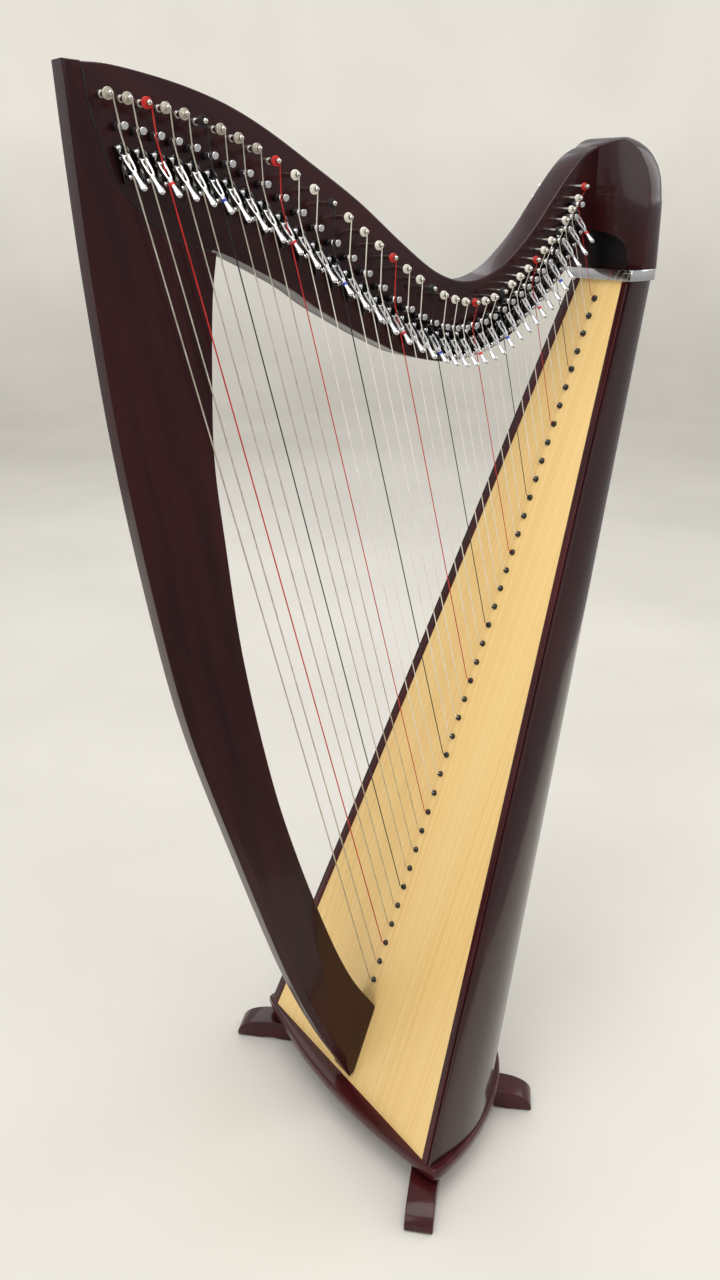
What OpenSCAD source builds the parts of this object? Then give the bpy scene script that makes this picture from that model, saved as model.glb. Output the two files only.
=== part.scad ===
// Floor-standing lever harp: flat curved pillar, plate neck, tapered soundbox
// with a slanted spruce board, four shoe feet, 38 strings and one pitch lever
// on each string.  Millimetres, +Z up, floor at Z = 0, strings in the XZ plane.
// -X is the pillar side, +X the soundbox side, -Y the lever side.

/* [Soundboard] */
// Length of the soundboard along its slant
board_len = 1200; // [1190:1:1210]
// Lean of the soundboard from the vertical, degrees
board_tilt = 20.5; // [20:0.1:21]
// Width of the spruce at its foot
board_w_foot = 384; // [370:1:390]
// Width of the spruce at its head
board_w_head = 74; // [70:1:80]
// Thickness of the spruce
board_t = 5; // [4:0.5:6]
// Width of the edge binding beside the spruce
binding_w = 11; // [8:0.5:12]

/* [Soundbox] */
// Depth of the soundbox behind the board at its foot
box_depth_foot = 196; // [180:1:200]
// Depth of the soundbox behind the board at its head
box_depth_head = 66; // [60:1:70]
// Wall of the rounded shell
shell_t = 5; // [4:0.5:6]
// Height of each rear access hole along the shell
hole_len = 120; // [90:5:130]

/* [Neck and pillar] */
// Thickness of the neck plate at the pillar
neck_t = 34; // [30:1:38]
// How much thicker the neck plate is at the shoulder
neck_grow = 6; // [0:1:8]
// Thickness of the pillar board
pillar_t = 40; // [34:1:40]
// Lean of the string plane about the soundboard's centre line, degrees
string_plane_tilt = 2.6; // [2.4:0.1:2.8]

/* [Base] */
// Height of the feet under the plinth
foot_h = 34; // [30:1:36]
// Width of a foot
foot_w = 39; // [32:1:42]
// Thickness of the rubber sole under a foot
sole_t = 2; // [1:0.5:3]

/* [String hardware] */
// Radius of a tuning pin
pin_r = 2.6; // [2.4:0.1:2.8]
// Radius of a bridge pin's head
bridge_r = 3.6; // [3:0.1:3.8]
// Radius of a lever's axle
axle_r = 1.45; // [1.44:0.01:1.48]
// Radius of the bore the axle turns in
axle_bore_r = 1.5; // [1.5:0.01:1.52]
// Distance of the string plane from the neck's face
string_gap = 17; // [16:0.5:18]
// Angle of a lever's handle from the string at rest, degrees
lever_rest = 35; // [30:1:40]

/* [Hidden] */
$fn = 32;
e = 0.02;
n_strings = 38;
// the whole harp is shifted so that the origin is under the middle of its box
shift_x = -93.4;
board_z = 62;          // height of the board's foot, the plinth's top
top_z = 1190;          // level cut at the soundbox's head
tilt = board_tilt;
wood = [0.22, 0.03, 0.04];
spruce = [0.87, 0.72, 0.46];
chrome = [0.8, 0.8, 0.82];
black = [0.05, 0.05, 0.05];

// ---------- helpers ----------
function lerp(a, b, t) = a + (b - a) * t;
// Catmull-Rom value through the knots p at parameter t
function cr(p, t) = let(n = len(p), i = min(max(floor(t), 0), n - 2), u = t - i,
    p1 = p[i], p2 = p[i + 1],
    p0 = i == 0 ? 2 * p1 - p2 : p[i - 1], p3 = i + 2 > n - 1 ? 2 * p2 - p1 : p[i + 2])
    0.5 * (2 * p1 + (p2 - p0) * u + (2 * p0 - 5 * p1 + 4 * p2 - p3) * u * u
           + (3 * p1 - p0 - 3 * p2 + p3) * u * u * u);
// smooth run of points through the knots p, m steps a knot
function smooth(p, m) = [for (k = [0 : (len(p) - 1) * m]) cr(p, k / m)];

// board frame: z runs up the board, x into the soundbox, origin at the board's foot
module board_frame() translate([0, 0, board_z]) rotate([0, tilt, 0]) children();
// string frame: the string plane becomes y = 0
module string_frame() translate([0, 0, board_z])
    rotate(a = string_plane_tilt, v = [sin(tilt), 0, cos(tilt)]) translate([0, 0, -board_z]) children();
function half_w(s) = lerp(board_w_foot, board_w_head, s / board_len) / 2;
function box_d(s) = lerp(box_depth_foot, box_depth_head, s / board_len);

// ---------- string layout ----------
// place of the eyelets up the board, every fourth string
eye_s = [160, 281, 400, 518, 631, 741, 846, 950, 1052, 1149, 1240];
// bridge pins in the string frame, every fourth string
bridge_k = [[-259, 1346], [-184, 1329], [-104, 1297], [-16, 1239], [71, 1176], [147, 1141],
            [210, 1143], [268, 1173], [316, 1209], [357, 1262], [395, 1322]];
// tuning pins in the string frame, every fourth string
pin_k = [[-274, 1372], [-197, 1358], [-117, 1330], [-25, 1279], [60, 1222], [138, 1178],
         [205, 1168], [262, 1194], [313, 1235], [356, 1284], [396, 1340]];
// distance of each lever's pivot below its bridge pin, every fourth string
lever_k = [27, 24, 27, 26, 21, 17.5, 17.5, 18, 19, 18, 17.5];
function eye(i) = let(s = cr(eye_s, i / 4)) [s * sin(tilt), board_z + s * cos(tilt)];
function bridge(i) = cr(bridge_k, i / 4);
function pin(i) = cr(pin_k, i / 4);
function drop(i) = cr(lever_k, i / 4);
function str_r(i) = i < 12 ? lerp(0.85, 0.55, i / 12) : lerp(0.7, 0.35, (i - 12) / 26);
// where the string passes its bridge pin, on the pin's pillar side
function rest_pt(i) = bridge(i) - [2.45 + str_r(i), 0];
// lean of a string from the vertical
function lean(i) = let(a = eye(i), b = rest_pt(i)) atan((a[0] - b[0]) / (b[1] - a[1]));
// local frame of string i: origin beside the bridge pin, z up the string
module at_bridge(i) translate([rest_pt(i)[0], 0, rest_pt(i)[1]]) rotate([0, -lean(i), 0]) children();
// local frame of lever i: origin on the lever's axle, x along the axle
pivot_y = 7;
module at_lever(i) at_bridge(i) translate([0, pivot_y, -drop(i)]) children();

// ---------- outlines in the XZ plane ----------
// outer edge of the pillar, head to foot
pil_out = [[-306.4, 1400], [-301.5, 1299], [-294.5, 1193], [-279.5, 1036], [-253, 856], [-222.5, 700],
           [-169.5, 516], [-114, 337], [-81.5, 246], [-49, 170], [-14, 100]];
// inner edge of the pillar, foot to head
pil_in = [[45.5, 180], [4, 249], [-34, 340], [-81, 481], [-116, 610], [-149, 781], [-166, 930],
          [-174, 1021], [-172, 1106], [-167, 1186], [-160, 1232]];
// seam between pillar and neck, foot to head
seam = [[-160, 1232], [-199, 1243], [-230, 1261], [-264, 1299], [-280, 1341], [-286, 1370], [-289, 1399]];
// upper edge of the neck, pillar to shoulder
neck_up = [[-292, 1398.7], [-259, 1398], [-209, 1390], [-167, 1380], [-128, 1367], [-87, 1348],
           [-37, 1320], [29, 1281], [87, 1240], [134, 1209], [166, 1195], [194, 1190], [220, 1192],
           [249, 1203], [275, 1221], [305, 1248], [333, 1280], [363, 1313], [386, 1333], [411, 1345]];
// lower edge of the neck, shoulder to pillar
neck_low = [[411, 1244], [395, 1225], [383, 1211], [366, 1194], [349, 1178], [324, 1157], [297, 1136],
            [273, 1119], [239, 1105], [205, 1098], [172, 1096], [155, 1097], [123, 1103], [91, 1112],
            [61, 1125], [31, 1139], [-25, 1168], [-65, 1193], [-127, 1222.5], [-165, 1237]];

module pillar_2d() polygon(concat(smooth(pil_out, 4),
    [[-2, board_z + 12], [8, board_z + 20]],
    [for (p = smooth(pil_in, 4)) p], smooth(seam, 4)));
// extrude an XZ outline from y0 to y1
module xz(y0, y1) translate([0, y1, 0]) rotate([90, 0, 0]) linear_extrude(y1 - y0) children();

// everything in front of the board's face
module above_board(d = 0) board_frame() translate([-1200 - d, -400, -800]) cube([1200, 800, 2600]);

// ---------- frame ----------
module pillar() color(wood) intersection() {
    xz(-pillar_t / 2, pillar_t / 2) pillar_2d();
    above_board();
}
// far face of the neck plate at place x, in the string frame
function neck_far(x) = string_gap + neck_t + neck_grow * (x + 290) / 700;
module neck() color(wood) difference() {
    string_frame() difference() {
        intersection() {
            xz(string_gap, string_gap + neck_t + neck_grow) polygon(concat(smooth(neck_up, 3), smooth(neck_low, 3),
                [[-220, 1224], [-275, 1290], [-292, 1350], [-294, 1396]]));
            translate([0, 0, 1000]) linear_extrude(500) polygon([[-300, 0], [420, 0], [420, neck_far(420)], [-300, neck_far(-300)]]);
        }
        for (i = [0 : n_strings - 1]) {
            translate([pin(i)[0], 0, pin(i)[1]]) rotate([-90, 0, 0]) cylinder(r = pin_r, h = 80, $fn = 24);
            translate([bridge(i)[0], 0, bridge(i)[1]]) rotate([-90, 0, 0]) cylinder(r = 1.5, h = string_gap + 12, $fn = 24);
            at_lever(i) for (z = [7, -10]) translate([0, 0, z]) rotate([-90, 0, 0]) cylinder(r = 1.2, h = string_gap + 2, $fn = 24);
        }
    }
    xz(-100, 100) pillar_2d();
    translate([-400, -100, 1380]) cube([110.5, 200, 60]);
    translate([411, -100, 1100]) cube([60, 200, 400]);
}

// horizontal D section of the soundbox's head
function sup(a, b, n, t) = [b * pow(abs(sin(t)), 2 / n), -a * sign(cos(t)) * pow(abs(cos(t)), 2 / n)];
module head_plan(x0, a, b) polygon([for (k = [0 : 40]) [x0, 0] + sup(a, b, 2.5, k * 4.5)]);
// how far the shoulder's dome draws in, by height
dome_k = [[1198.2, 0.4], [1270, 0.8], [1285, 2], [1301, 3.6], [1311, 5.5], [1321, 8.6], [1329, 12.5],
          [1337, 17.5], [1344, 24], [1349.5, 31.5], [1353.5, 39], [1356, 46]];
module dome_plan(d) polygon(concat([[405, 55], [405, d - 55.5]],
    [for (k = [0 : 15]) [418, 0] + sup(55.5 - d, 72.5 - d, 3, k * 6)],
    [for (k = [14 : -1 : 0]) let(p = sup(55, 72.5 - d, 3, k * 6)) [418 + p[0], -p[1]]]));
module shoulder() color(wood) difference() {
    union() {
        intersection() {
            hull() for (k = dome_k) translate([0, 0, k[0]]) linear_extrude(0.2) dome_plan(k[1]);
            xz(-80, 80) polygon([[404, 1180], [404, 1340.5], [411, 1345], [420, 1351], [432, 1355.5], [447, 1357], [500, 1357], [500, 1180]]);
            shoulder_front();
        }
        intersection() {
            translate([0, 0, top_z]) linear_extrude(8.6) intersection() { head_plan(420, 52.5, 70); translate([422, -60]) square([100, 120]); }
            shoulder_front();
        }
    }
    // dark recess under the front face, above the soundboard's head
    translate([400, 0, 0]) rotate([90, 0, 90]) linear_extrude(36)
        polygon([[16, 1180], [16, 1246], [-4, 1242], [-17, 1237], [-26, 1230], [-31, 1222], [-33, 1198], [-33, 1180]]);
}
// everything behind the shoulder's slanted front face
module shoulder_front() translate([0, 0, 1150]) linear_extrude(300) polygon([[411, 16], [443.8, -66], [520, -66], [520, 60], [411, 60]]);
module shoulder_band() color(chrome) translate([0, 0, 1184]) linear_extrude(14) difference() {
    head_plan(415.2, 57.3, 78);
    head_plan(417.4, 55, 74);
}

// ---------- soundbox ----------
function section(s, g, n) = let(a = half_w(s) + binding_w + 1 + shell_t - g, b = box_d(s) - g)
    [for (k = [0 : n]) sup(a, b, 2.5, k * 180 / n)];
module slice(s, g) translate([0, 0, s]) linear_extrude(0.01) polygon(section(s, g, 40));
module level_cut() translate([-400, -400, board_z]) cube([1200, 800, top_z - board_z]);
// rear access holes up the shell: place, half width
holes = [[250, 42], [480, 38], [700, 32], [900, 25]];
module soundbox_shell() color(wood) intersection() {
    level_cut();
    board_frame() difference() {
        hull() { slice(-90, 0); slice(board_len + 40, 0); }
        hull() { translate([-0.01, 0, 0]) slice(-95, shell_t); translate([-0.01, 0, 0]) slice(board_len + 45, shell_t); }
        translate([-5, -300, -200]) cube([5, 600, 1600]);
        for (h = holes) hull() for (k = [-1, 1]) translate([30, 0, h[0] + k * (hole_len / 2 - h[1])])
            rotate([0, 90, 0]) cylinder(r = h[1], h = 300, $fn = 32);
    }
}
module board_outline(g0, g1) polygon([[-half_w(-60) - g1, -60], [half_w(-60) + g1, -60],
    [half_w(board_len + 40) + g1, board_len + 40], [-half_w(board_len + 40) - g1, board_len + 40]]);
// flat piece in the board's plane, from depth d0 to d1
module flat(d0, d1) translate([d0, 0, 0]) rotate([90, 0, 90]) linear_extrude(d1 - d0) children();
module soundboard() color(spruce) intersection() {
    level_cut();
    board_frame() difference() {
        flat(0, board_t) board_outline(0, 0);
        for (i = [0 : n_strings - 1]) translate([-1, 0, cr(eye_s, i / 4)]) rotate([0, 90, 0]) cylinder(r = 2.6, h = board_t + 2, $fn = 24);
    }
}
module edge_bindings() color(wood) intersection() {
    level_cut();
    board_frame() flat(-1.5, board_t) difference() {
        board_outline(0, binding_w);
        board_outline(0, 0);
    }
}
// lining strips under the board's edges and cross braces on the shell
module inner_frame() color([0.75, 0.6, 0.42]) {
    intersection() {
        translate([-400, -400, board_z]) cube([1200, 800, top_z - board_z - 12]);
        board_frame() flat(board_t, board_t + 11) difference() {
            board_outline(0, binding_w - 1.2);
            board_outline(0, -5);
        }
    }
    board_frame() for (s = [130, 365, 590, 800]) intersection() {
        translate([0, 0, s]) linear_extrude(8) difference() {
            polygon(section(s + 8, shell_t, 40));
            offset(delta = -14) polygon(section(s + 8, shell_t, 40));
        }
        translate([20, -300, 0]) cube([400, 600, 2000]);
    }
}
module string_rib() color([0.75, 0.6, 0.42]) board_frame() difference() {
    translate([board_t, -11, 90]) cube([7, 22, 1100]);
    for (i = [0 : n_strings - 1]) translate([0, 0, cr(eye_s, i / 4)]) rotate([0, 90, 0]) cylinder(r = 1.6, h = 30, $fn = 24);
}

// ---------- base ----------
plinth_k = [[-27, 0], [-24, -70], [-15, -140], [-4, -205], [4, -219], [30, -217], [82, -202],
            [138, -175], [188, -138], [228, -90], [250, -40], [254, 0]];
module plinth_2d(g) offset(delta = -g) polygon(concat(smooth(plinth_k, 3),
    [for (k = [len(plinth_k) * 3 - 4 : -1 : 1]) let(p = smooth(plinth_k, 3)[k]) [p[0], -p[1]]]));
module base_plinth() color(wood) difference() {
    hull() {
        translate([0, 0, foot_h]) linear_extrude(0.5) plinth_2d(12);
        translate([0, 0, foot_h + 5]) linear_extrude(0.5) plinth_2d(5);
        translate([0, 0, foot_h + 13]) linear_extrude(12) plinth_2d(0);
        translate([0, 0, board_z - 0.5]) linear_extrude(0.5) plinth_2d(1.5);
    }
    for (f = foot_at) translate([f[0], f[1], foot_h - 1]) cylinder(r = 3, h = 15, $fn = 24);
}
// foot places on the plinth: x, y, heading of the toe
foot_at = [[12, -186, 225], [12, 186, 135], [182, -104, 318], [182, 104, 42]];
// side outline of a foot: bolt at 0, toe at 78
module foot_2d() difference() {
    polygon(concat([[-22, sole_t], [-22, foot_h - 3], [-19, foot_h]],
        [for (k = [0 : 14]) [22 + 56 * pow(sin(k * 90 / 14), 0.9), sole_t + 3 + (foot_h - sole_t - 3) * pow(cos(k * 90 / 14), 0.8)]],
        [[78, sole_t + 1], [77, sole_t]]));
    translate([22, sole_t - 58]) circle(r = 60, $fn = 96);
}
module feet() for (f = foot_at) translate([f[0], f[1], 0]) rotate([0, 0, f[2]]) {
    color(wood) difference() {
        translate([0, foot_w / 2, 0]) rotate([90, 0, 0]) linear_extrude(foot_w) foot_2d();
        translate([0, 0, -1]) cylinder(r = 3, h = foot_h + 2, $fn = 24);
        translate([0, 0, -1]) cylinder(r = 7, h = 13, $fn = 24);
    }
    // rubber soles
    color(black) for (x = [-17, 60]) translate([x, -foot_w / 2 + 4, 0]) cube([14, foot_w - 8, sole_t]);
}
module foot_bolts() color(chrome) for (f = foot_at) translate([f[0], f[1], 12]) {
    cylinder(r = 3, h = foot_h + 2, $fn = 24);
    translate([0, 0, -5]) cylinder(r = 5.5, h = 5, $fn = 24);
}

// ---------- string hardware ----------
module eyelets() color(black) board_frame() for (i = [0 : n_strings - 1]) translate([0, 0, cr(eye_s, i / 4)])
    rotate([0, 90, 0]) rotate_extrude($fn = 32) polygon([[1.4, -1.4], [2, -2.2], [3, -2.4], [4, -1.9], [4.4, -1],
        [4.4, 0], [2.6, 0], [2.6, board_t], [1.4, board_t]]);
module tuning_pins() color(chrome) string_frame() for (i = [0 : n_strings - 1]) translate([pin(i)[0], 0, pin(i)[1]])
    rotate([90, 0, 0]) union() {
        translate([0, 0, -neck_far(pin(i)[0]) - 6]) cylinder(r = pin_r, h = neck_far(pin(i)[0]) + 6 + 11, $fn = 24);
        translate([0, 0, -neck_far(pin(i)[0]) - 17]) cylinder(r = 3.1, h = 11, $fn = 4);
        translate([0, 0, 11]) rotate_extrude($fn = 24) polygon([[0, 0], [pin_r, 0], [pin_r, 0.6], [2, 1.8], [1, 2.4], [0, 2.5]]);
    }
// string coil on a tuning pin: inner edge at the pin, from y -9 to y -3
function coil_r(i) = lerp(5.6, 4.4, i / 37);
module bridge_pins() color(chrome) string_frame() for (i = [0 : n_strings - 1]) translate([bridge(i)[0], 0, bridge(i)[1]])
    rotate([90, 0, 0]) rotate_extrude($fn = 32) polygon([[0, -string_gap - 12], [1.5, -string_gap - 12], [1.5, -9],
        [bridge_r, -9], [bridge_r, -2.6], [2.4, -1.2], [2.4, 1.2], [bridge_r, 2.6], [bridge_r, 5.4], [bridge_r - 0.6, 6], [0, 6]]);
module bridge_collars() color(black) string_frame() for (i = [0 : n_strings - 1]) translate([bridge(i)[0], 0, bridge(i)[1]])
    rotate([-90, 0, 0]) translate([0, 0, 9]) difference() {
        cylinder(r = 4, h = string_gap - 9, $fn = 32);
        translate([0, 0, -1]) cylinder(r = 1.5, h = 12, $fn = 24);
    }
// side outline of a bracket's cheek, axle at the origin: z up, y out of the neck
module bracket(i) at_lever(i) difference() {
    union() {
        translate([-5.4, string_gap - pivot_y - 2, -23]) cube([10.8, 2, 34]);
        for (x = [-5.4, 4.4]) translate([x, 0, 0]) rotate([90, 0, 90]) linear_extrude(1)
            polygon([[string_gap - pivot_y - 2, 11], [1, 8], [-2.6, 4], [-2.6, -3], [1, -9], [4, -23], [string_gap - pivot_y - 2, -23]]);
    }
    translate([-10, 0, 0]) rotate([0, 90, 0]) cylinder(r = axle_bore_r, h = 20, $fn = 32);
    for (z = [7, -10]) translate([0, 0, z]) rotate([-90, 0, 0]) cylinder(r = 1.2, h = 20, $fn = 24);
}
module lever_brackets() color(black) string_frame() for (i = [0 : n_strings - 1]) bracket(i);
module lever_frets() color(chrome) string_frame() for (i = [0 : n_strings - 1]) at_lever(i)
    translate([-3.6, 0, 0]) rotate([90, 0, 90]) linear_extrude(7.2)
        polygon([[string_gap - pivot_y - 2, -14.5], [-3, -16], [-5, -18.4], [-5, -19.6], [string_gap - pivot_y - 2, -22.6]]);
module lever_screws() color(chrome) string_frame() for (i = [0 : n_strings - 1]) at_lever(i) for (z = [7, -10])
    translate([0, string_gap - pivot_y - 2, z]) rotate([-90, 0, 0]) rotate_extrude($fn = 32)
        polygon([[0, -3], [1.2, -2.8], [2.5, -1.8], [3.1, 0], [1.2, 0], [1.2, 9.5], [0, 9.5]]);

// ---------- levers ----------
// axle at the origin; the arm runs along -Z here and is then swung out to its rest angle
module lever(i) color(chrome) string_frame() at_lever(i) rotate([-lever_rest, 0, 0]) union() {
    translate([-5.9, 0, 0]) rotate([0, 90, 0]) cylinder(r = axle_r, h = 11.8, $fn = 32);
    difference() {
        union() {
            translate([-3.9, 0, 0]) rotate([0, 90, 0]) cylinder(r = 3.1, h = 7.8, $fn = 32);
            translate([0, 2.1, 0]) rotate([90, 0, 0]) linear_extrude(4.2)
                polygon([[-3.9, 0], [-3.9, -17], [-2.2, -21], [2.2, -21], [3.9, -17], [3.9, 0]]);
        }
        translate([-2.3, -5, -17.6]) cube([4.6, 10, 13.8]);
    }
    translate([0, 0, -38]) rotate_extrude($fn = 32) polygon([[0, 0], [1.6, 0.4], [2.8, 1.8], [3.4, 4], [3.3, 6.4],
        [2.6, 10], [2, 13], [1.9, 15], [1.9, 18.8], [0, 18.8]]);
}

// ---------- strings ----------
// ring of m points of radius r about p, in the plane square to direction d
function norm3(v) = v / norm(v);
function ring(p, d, r, m) = let(z = norm3(d), x = norm3(cross([0, 1, 0.001], z)), y = cross(z, x))
    [for (k = [0 : m - 1]) p + r * (cos(k * 360 / m) * x + sin(k * 360 / m) * y)];
// closed tube along the path p
module tube(p, r, m = 8) {
    n = len(p);
    d = [for (k = [0 : n - 1]) norm3(k == 0 ? p[1] - p[0] : k == n - 1 ? p[k] - p[k - 1] : norm3(p[k] - p[k - 1]) + norm3(p[k + 1] - p[k]))];
    pts = [for (k = [0 : n - 1]) each ring(p[k], d[k], r, m)];
    polyhedron(points = pts, faces = concat(
        [[for (k = [0 : m - 1]) k]], [[for (k = [m - 1 : -1 : 0]) (n - 1) * m + k]],
        [for (j = [0 : n - 2], k = [0 : m - 1]) [j * m + k, (j + 1) * m + k, (j + 1) * m + (k + 1) % m, j * m + (k + 1) % m]]),
        convexity = 4);
}
// turn a point of the string frame into the harp's frame
function about(v, a, p) = p * cos(a) + cross(v, p) * sin(a) + v * (v * p) * (1 - cos(a));
function to_world(p) = about([sin(tilt), 0, cos(tilt)], string_plane_tilt, p - [0, 0, board_z]) + [0, 0, board_z];
function on_board(s, d) = [s * sin(tilt) + d * cos(tilt), 0, board_z + s * cos(tilt) - d * sin(tilt)];
module string(i) {
    r = str_r(i); s = cr(eye_s, i / 4); b = rest_pt(i); t = pin(i);
    tube([to_world([t[0] + coil_r(i) - r, -6, t[1] - 0.5]), to_world([b[0], -0.4, b[1] + 1.5]),
          to_world([b[0] + 0.1, 0, b[1] - 1.5]), on_board(s + 1.5, -5), on_board(s, -1.5), on_board(s, 14)], r);
    string_frame() translate([t[0], -9, t[1]]) rotate([-90, 0, 0]) difference() {
        cylinder(r = coil_r(i), h = 6, $fn = 16);
        translate([0, 0, -1]) cylinder(r = pin_r + 0.05, h = 8, $fn = 16);
    }
    translate(on_board(s, 14.6)) sphere(r = 2.6, $fn = 12);
}
function is_red(i) = (i + 1) % 7 == 3;
function is_black(i) = (i + 1) % 7 == 6;
module strings_natural() color([0.8, 0.78, 0.7]) for (i = [0 : n_strings - 1]) if (!is_red(i) && !is_black(i)) string(i);
module strings_red() color([0.7, 0.08, 0.05]) for (i = [0 : n_strings - 1]) if (is_red(i)) string(i);
module strings_black() color([0.08, 0.08, 0.12]) for (i = [0 : n_strings - 1]) if (is_black(i)) string(i);

module placed() translate([shift_x, 0, 0]) children();
placed() pillar();
placed() neck();
placed() shoulder();
placed() shoulder_band();
placed() soundboard();
placed() soundbox_shell();
placed() edge_bindings();
placed() inner_frame();
placed() string_rib();
placed() base_plinth();
placed() feet();
placed() foot_bolts();
placed() eyelets();
placed() tuning_pins();
placed() bridge_pins();
placed() bridge_collars();
placed() lever_brackets();
placed() lever_frets();
placed() lever_screws();
placed() strings_natural();
placed() strings_red();
placed() strings_black();
placed() lever(0);  // lever_01
placed() lever(1);  // lever_02
placed() lever(2);  // lever_03
placed() lever(3);  // lever_04
placed() lever(4);  // lever_05
placed() lever(5);  // lever_06
placed() lever(6);  // lever_07
placed() lever(7);  // lever_08
placed() lever(8);  // lever_09
placed() lever(9);  // lever_10
placed() lever(10);  // lever_11
placed() lever(11);  // lever_12
placed() lever(12);  // lever_13
placed() lever(13);  // lever_14
placed() lever(14);  // lever_15
placed() lever(15);  // lever_16
placed() lever(16);  // lever_17
placed() lever(17);  // lever_18
placed() lever(18);  // lever_19
placed() lever(19);  // lever_20
placed() lever(20);  // lever_21
placed() lever(21);  // lever_22
placed() lever(22);  // lever_23
placed() lever(23);  // lever_24
placed() lever(24);  // lever_25
placed() lever(25);  // lever_26
placed() lever(26);  // lever_27
placed() lever(27);  // lever_28
placed() lever(28);  // lever_29
placed() lever(29);  // lever_30
placed() lever(30);  // lever_31
placed() lever(31);  // lever_32
placed() lever(32);  // lever_33
placed() lever(33);  // lever_34
placed() lever(34);  // lever_35
placed() lever(35);  // lever_36
placed() lever(36);  // lever_37
placed() lever(37);  // lever_38
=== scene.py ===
import bpy
import bmesh
import math
import random
import numpy as np
from mathutils import Vector, Quaternion, Matrix


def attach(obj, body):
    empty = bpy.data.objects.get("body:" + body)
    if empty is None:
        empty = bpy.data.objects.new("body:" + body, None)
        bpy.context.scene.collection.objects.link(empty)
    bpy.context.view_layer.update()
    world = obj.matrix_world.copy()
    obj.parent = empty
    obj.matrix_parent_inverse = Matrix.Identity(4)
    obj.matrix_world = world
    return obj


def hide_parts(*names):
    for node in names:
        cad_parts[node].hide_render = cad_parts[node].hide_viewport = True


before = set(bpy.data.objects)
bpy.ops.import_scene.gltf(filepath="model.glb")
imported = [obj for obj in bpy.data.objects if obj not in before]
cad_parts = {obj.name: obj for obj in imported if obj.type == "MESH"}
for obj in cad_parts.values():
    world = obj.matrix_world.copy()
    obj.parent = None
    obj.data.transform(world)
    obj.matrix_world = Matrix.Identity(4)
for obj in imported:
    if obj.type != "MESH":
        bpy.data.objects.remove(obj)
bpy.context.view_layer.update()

random.seed(7)
ROOT = "harp_frame"

# ------------------------------------------------------------------ layout, mm
SX = -93.4            # shift of the whole harp along x
TILT = 20.5           # lean of the soundboard
BZ = 62.0             # board's foot
TOPZ = 1190.0         # head of the soundbox
SPT = 2.6             # lean of the string plane
BL = 1200.0
BIND = 11.0
SHELL = 5.0
GAP = 17.0
NECK_T = 34.0          # thickness of the neck at the pillar
NECK_GROW = 6.0        # extra at the shoulder
PIN_R = 2.6
BR_R = 3.6
NS = 38
PIVOT_Y = 7.0
REST = 35.0


def sind(a):
    return math.sin(math.radians(a))


def cosd(a):
    return math.cos(math.radians(a))


def cr(p, t):
    p = np.asarray(p, float)
    n = len(p)
    i = int(min(max(math.floor(t), 0), n - 2))
    u = t - i
    p1, p2 = p[i], p[i + 1]
    p0 = 2 * p1 - p2 if i == 0 else p[i - 1]
    p3 = 2 * p2 - p1 if i + 2 > n - 1 else p[i + 2]
    return 0.5 * (2 * p1 + (p2 - p0) * u + (2 * p0 - 5 * p1 + 4 * p2 - p3) * u * u
                  + (3 * p1 - p0 - 3 * p2 + p3) * u ** 3)


def smooth(p, m):
    return np.array([cr(p, k / m) for k in range((len(p) - 1) * m + 1)])


EYE_S = [160, 281, 400, 518, 631, 741, 846, 950, 1052, 1149, 1240]
BRIDGE_K = [[-259, 1346], [-184, 1329], [-104, 1297], [-16, 1239], [71, 1176], [147, 1141],
            [210, 1143], [268, 1173], [316, 1209], [357, 1262], [395, 1322]]
PIN_K = [[-274, 1372], [-197, 1358], [-117, 1330], [-25, 1279], [60, 1222], [138, 1178],
         [205, 1168], [262, 1194], [313, 1235], [356, 1284], [396, 1340]]
LEVER_K = [27, 24, 27, 26, 21, 17.5, 17.5, 18, 19, 18, 17.5]
PIL_OUT = [[-306.4, 1400], [-301.5, 1299], [-294.5, 1193], [-279.5, 1036], [-253, 856], [-222.5, 700],
           [-169.5, 516], [-114, 337], [-81.5, 246], [-49, 170], [-14, 100]]
PIL_IN = [[45.5, 180], [4, 249], [-34, 340], [-81, 481], [-116, 610], [-149, 781], [-166, 930],
          [-174, 1021], [-172, 1106], [-167, 1186], [-160, 1232]]
SEAM = [[-160, 1232], [-199, 1243], [-230, 1261], [-264, 1299], [-280, 1341], [-286, 1370], [-289, 1399]]
NECK_UP = [[-292, 1398.7], [-259, 1398], [-209, 1390], [-167, 1380], [-128, 1367], [-87, 1348],
           [-37, 1320], [29, 1281], [87, 1240], [134, 1209], [166, 1195], [194, 1190], [220, 1192],
           [249, 1203], [275, 1221], [305, 1248], [333, 1280], [363, 1313], [386, 1333], [411, 1345]]
NECK_LOW = [[411, 1244], [395, 1225], [383, 1211], [366, 1194], [349, 1178], [324, 1157], [297, 1136],
            [273, 1119], [239, 1105], [205, 1098], [172, 1096], [155, 1097], [123, 1103], [91, 1112],
            [61, 1125], [31, 1139], [-25, 1168], [-65, 1193], [-127, 1222.5], [-165, 1237]]
SHOULDER_K = [[404, 1340.5], [411, 1345], [420, 1351], [432, 1355.5], [447, 1357]]
DOME_K = [[1198.2, 0.4], [1270, 0.8], [1285, 2], [1301, 3.6], [1311, 5.5], [1321, 8.6], [1329, 12.5],
          [1337, 17.5], [1344, 24], [1349.5, 31.5], [1353.5, 39], [1356, 46]]
PLINTH_K = [[-27, 0], [-24, -70], [-15, -140], [-4, -205], [4, -219], [30, -217], [82, -202],
            [138, -175], [188, -138], [228, -90], [250, -40], [254, 0]]
FOOT_AT = [[12, -186, 225], [12, 186, 135], [182, -104, 318], [182, 104, 42]]
FOOT_H, FOOT_W, SOLE = 34.0, 39.0, 2.0
HOLES = [[250, 42], [480, 38], [700, 32], [900, 25]]
HOLE_LEN = 120.0

VAX = np.array([sind(TILT), 0.0, cosd(TILT)])


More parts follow.
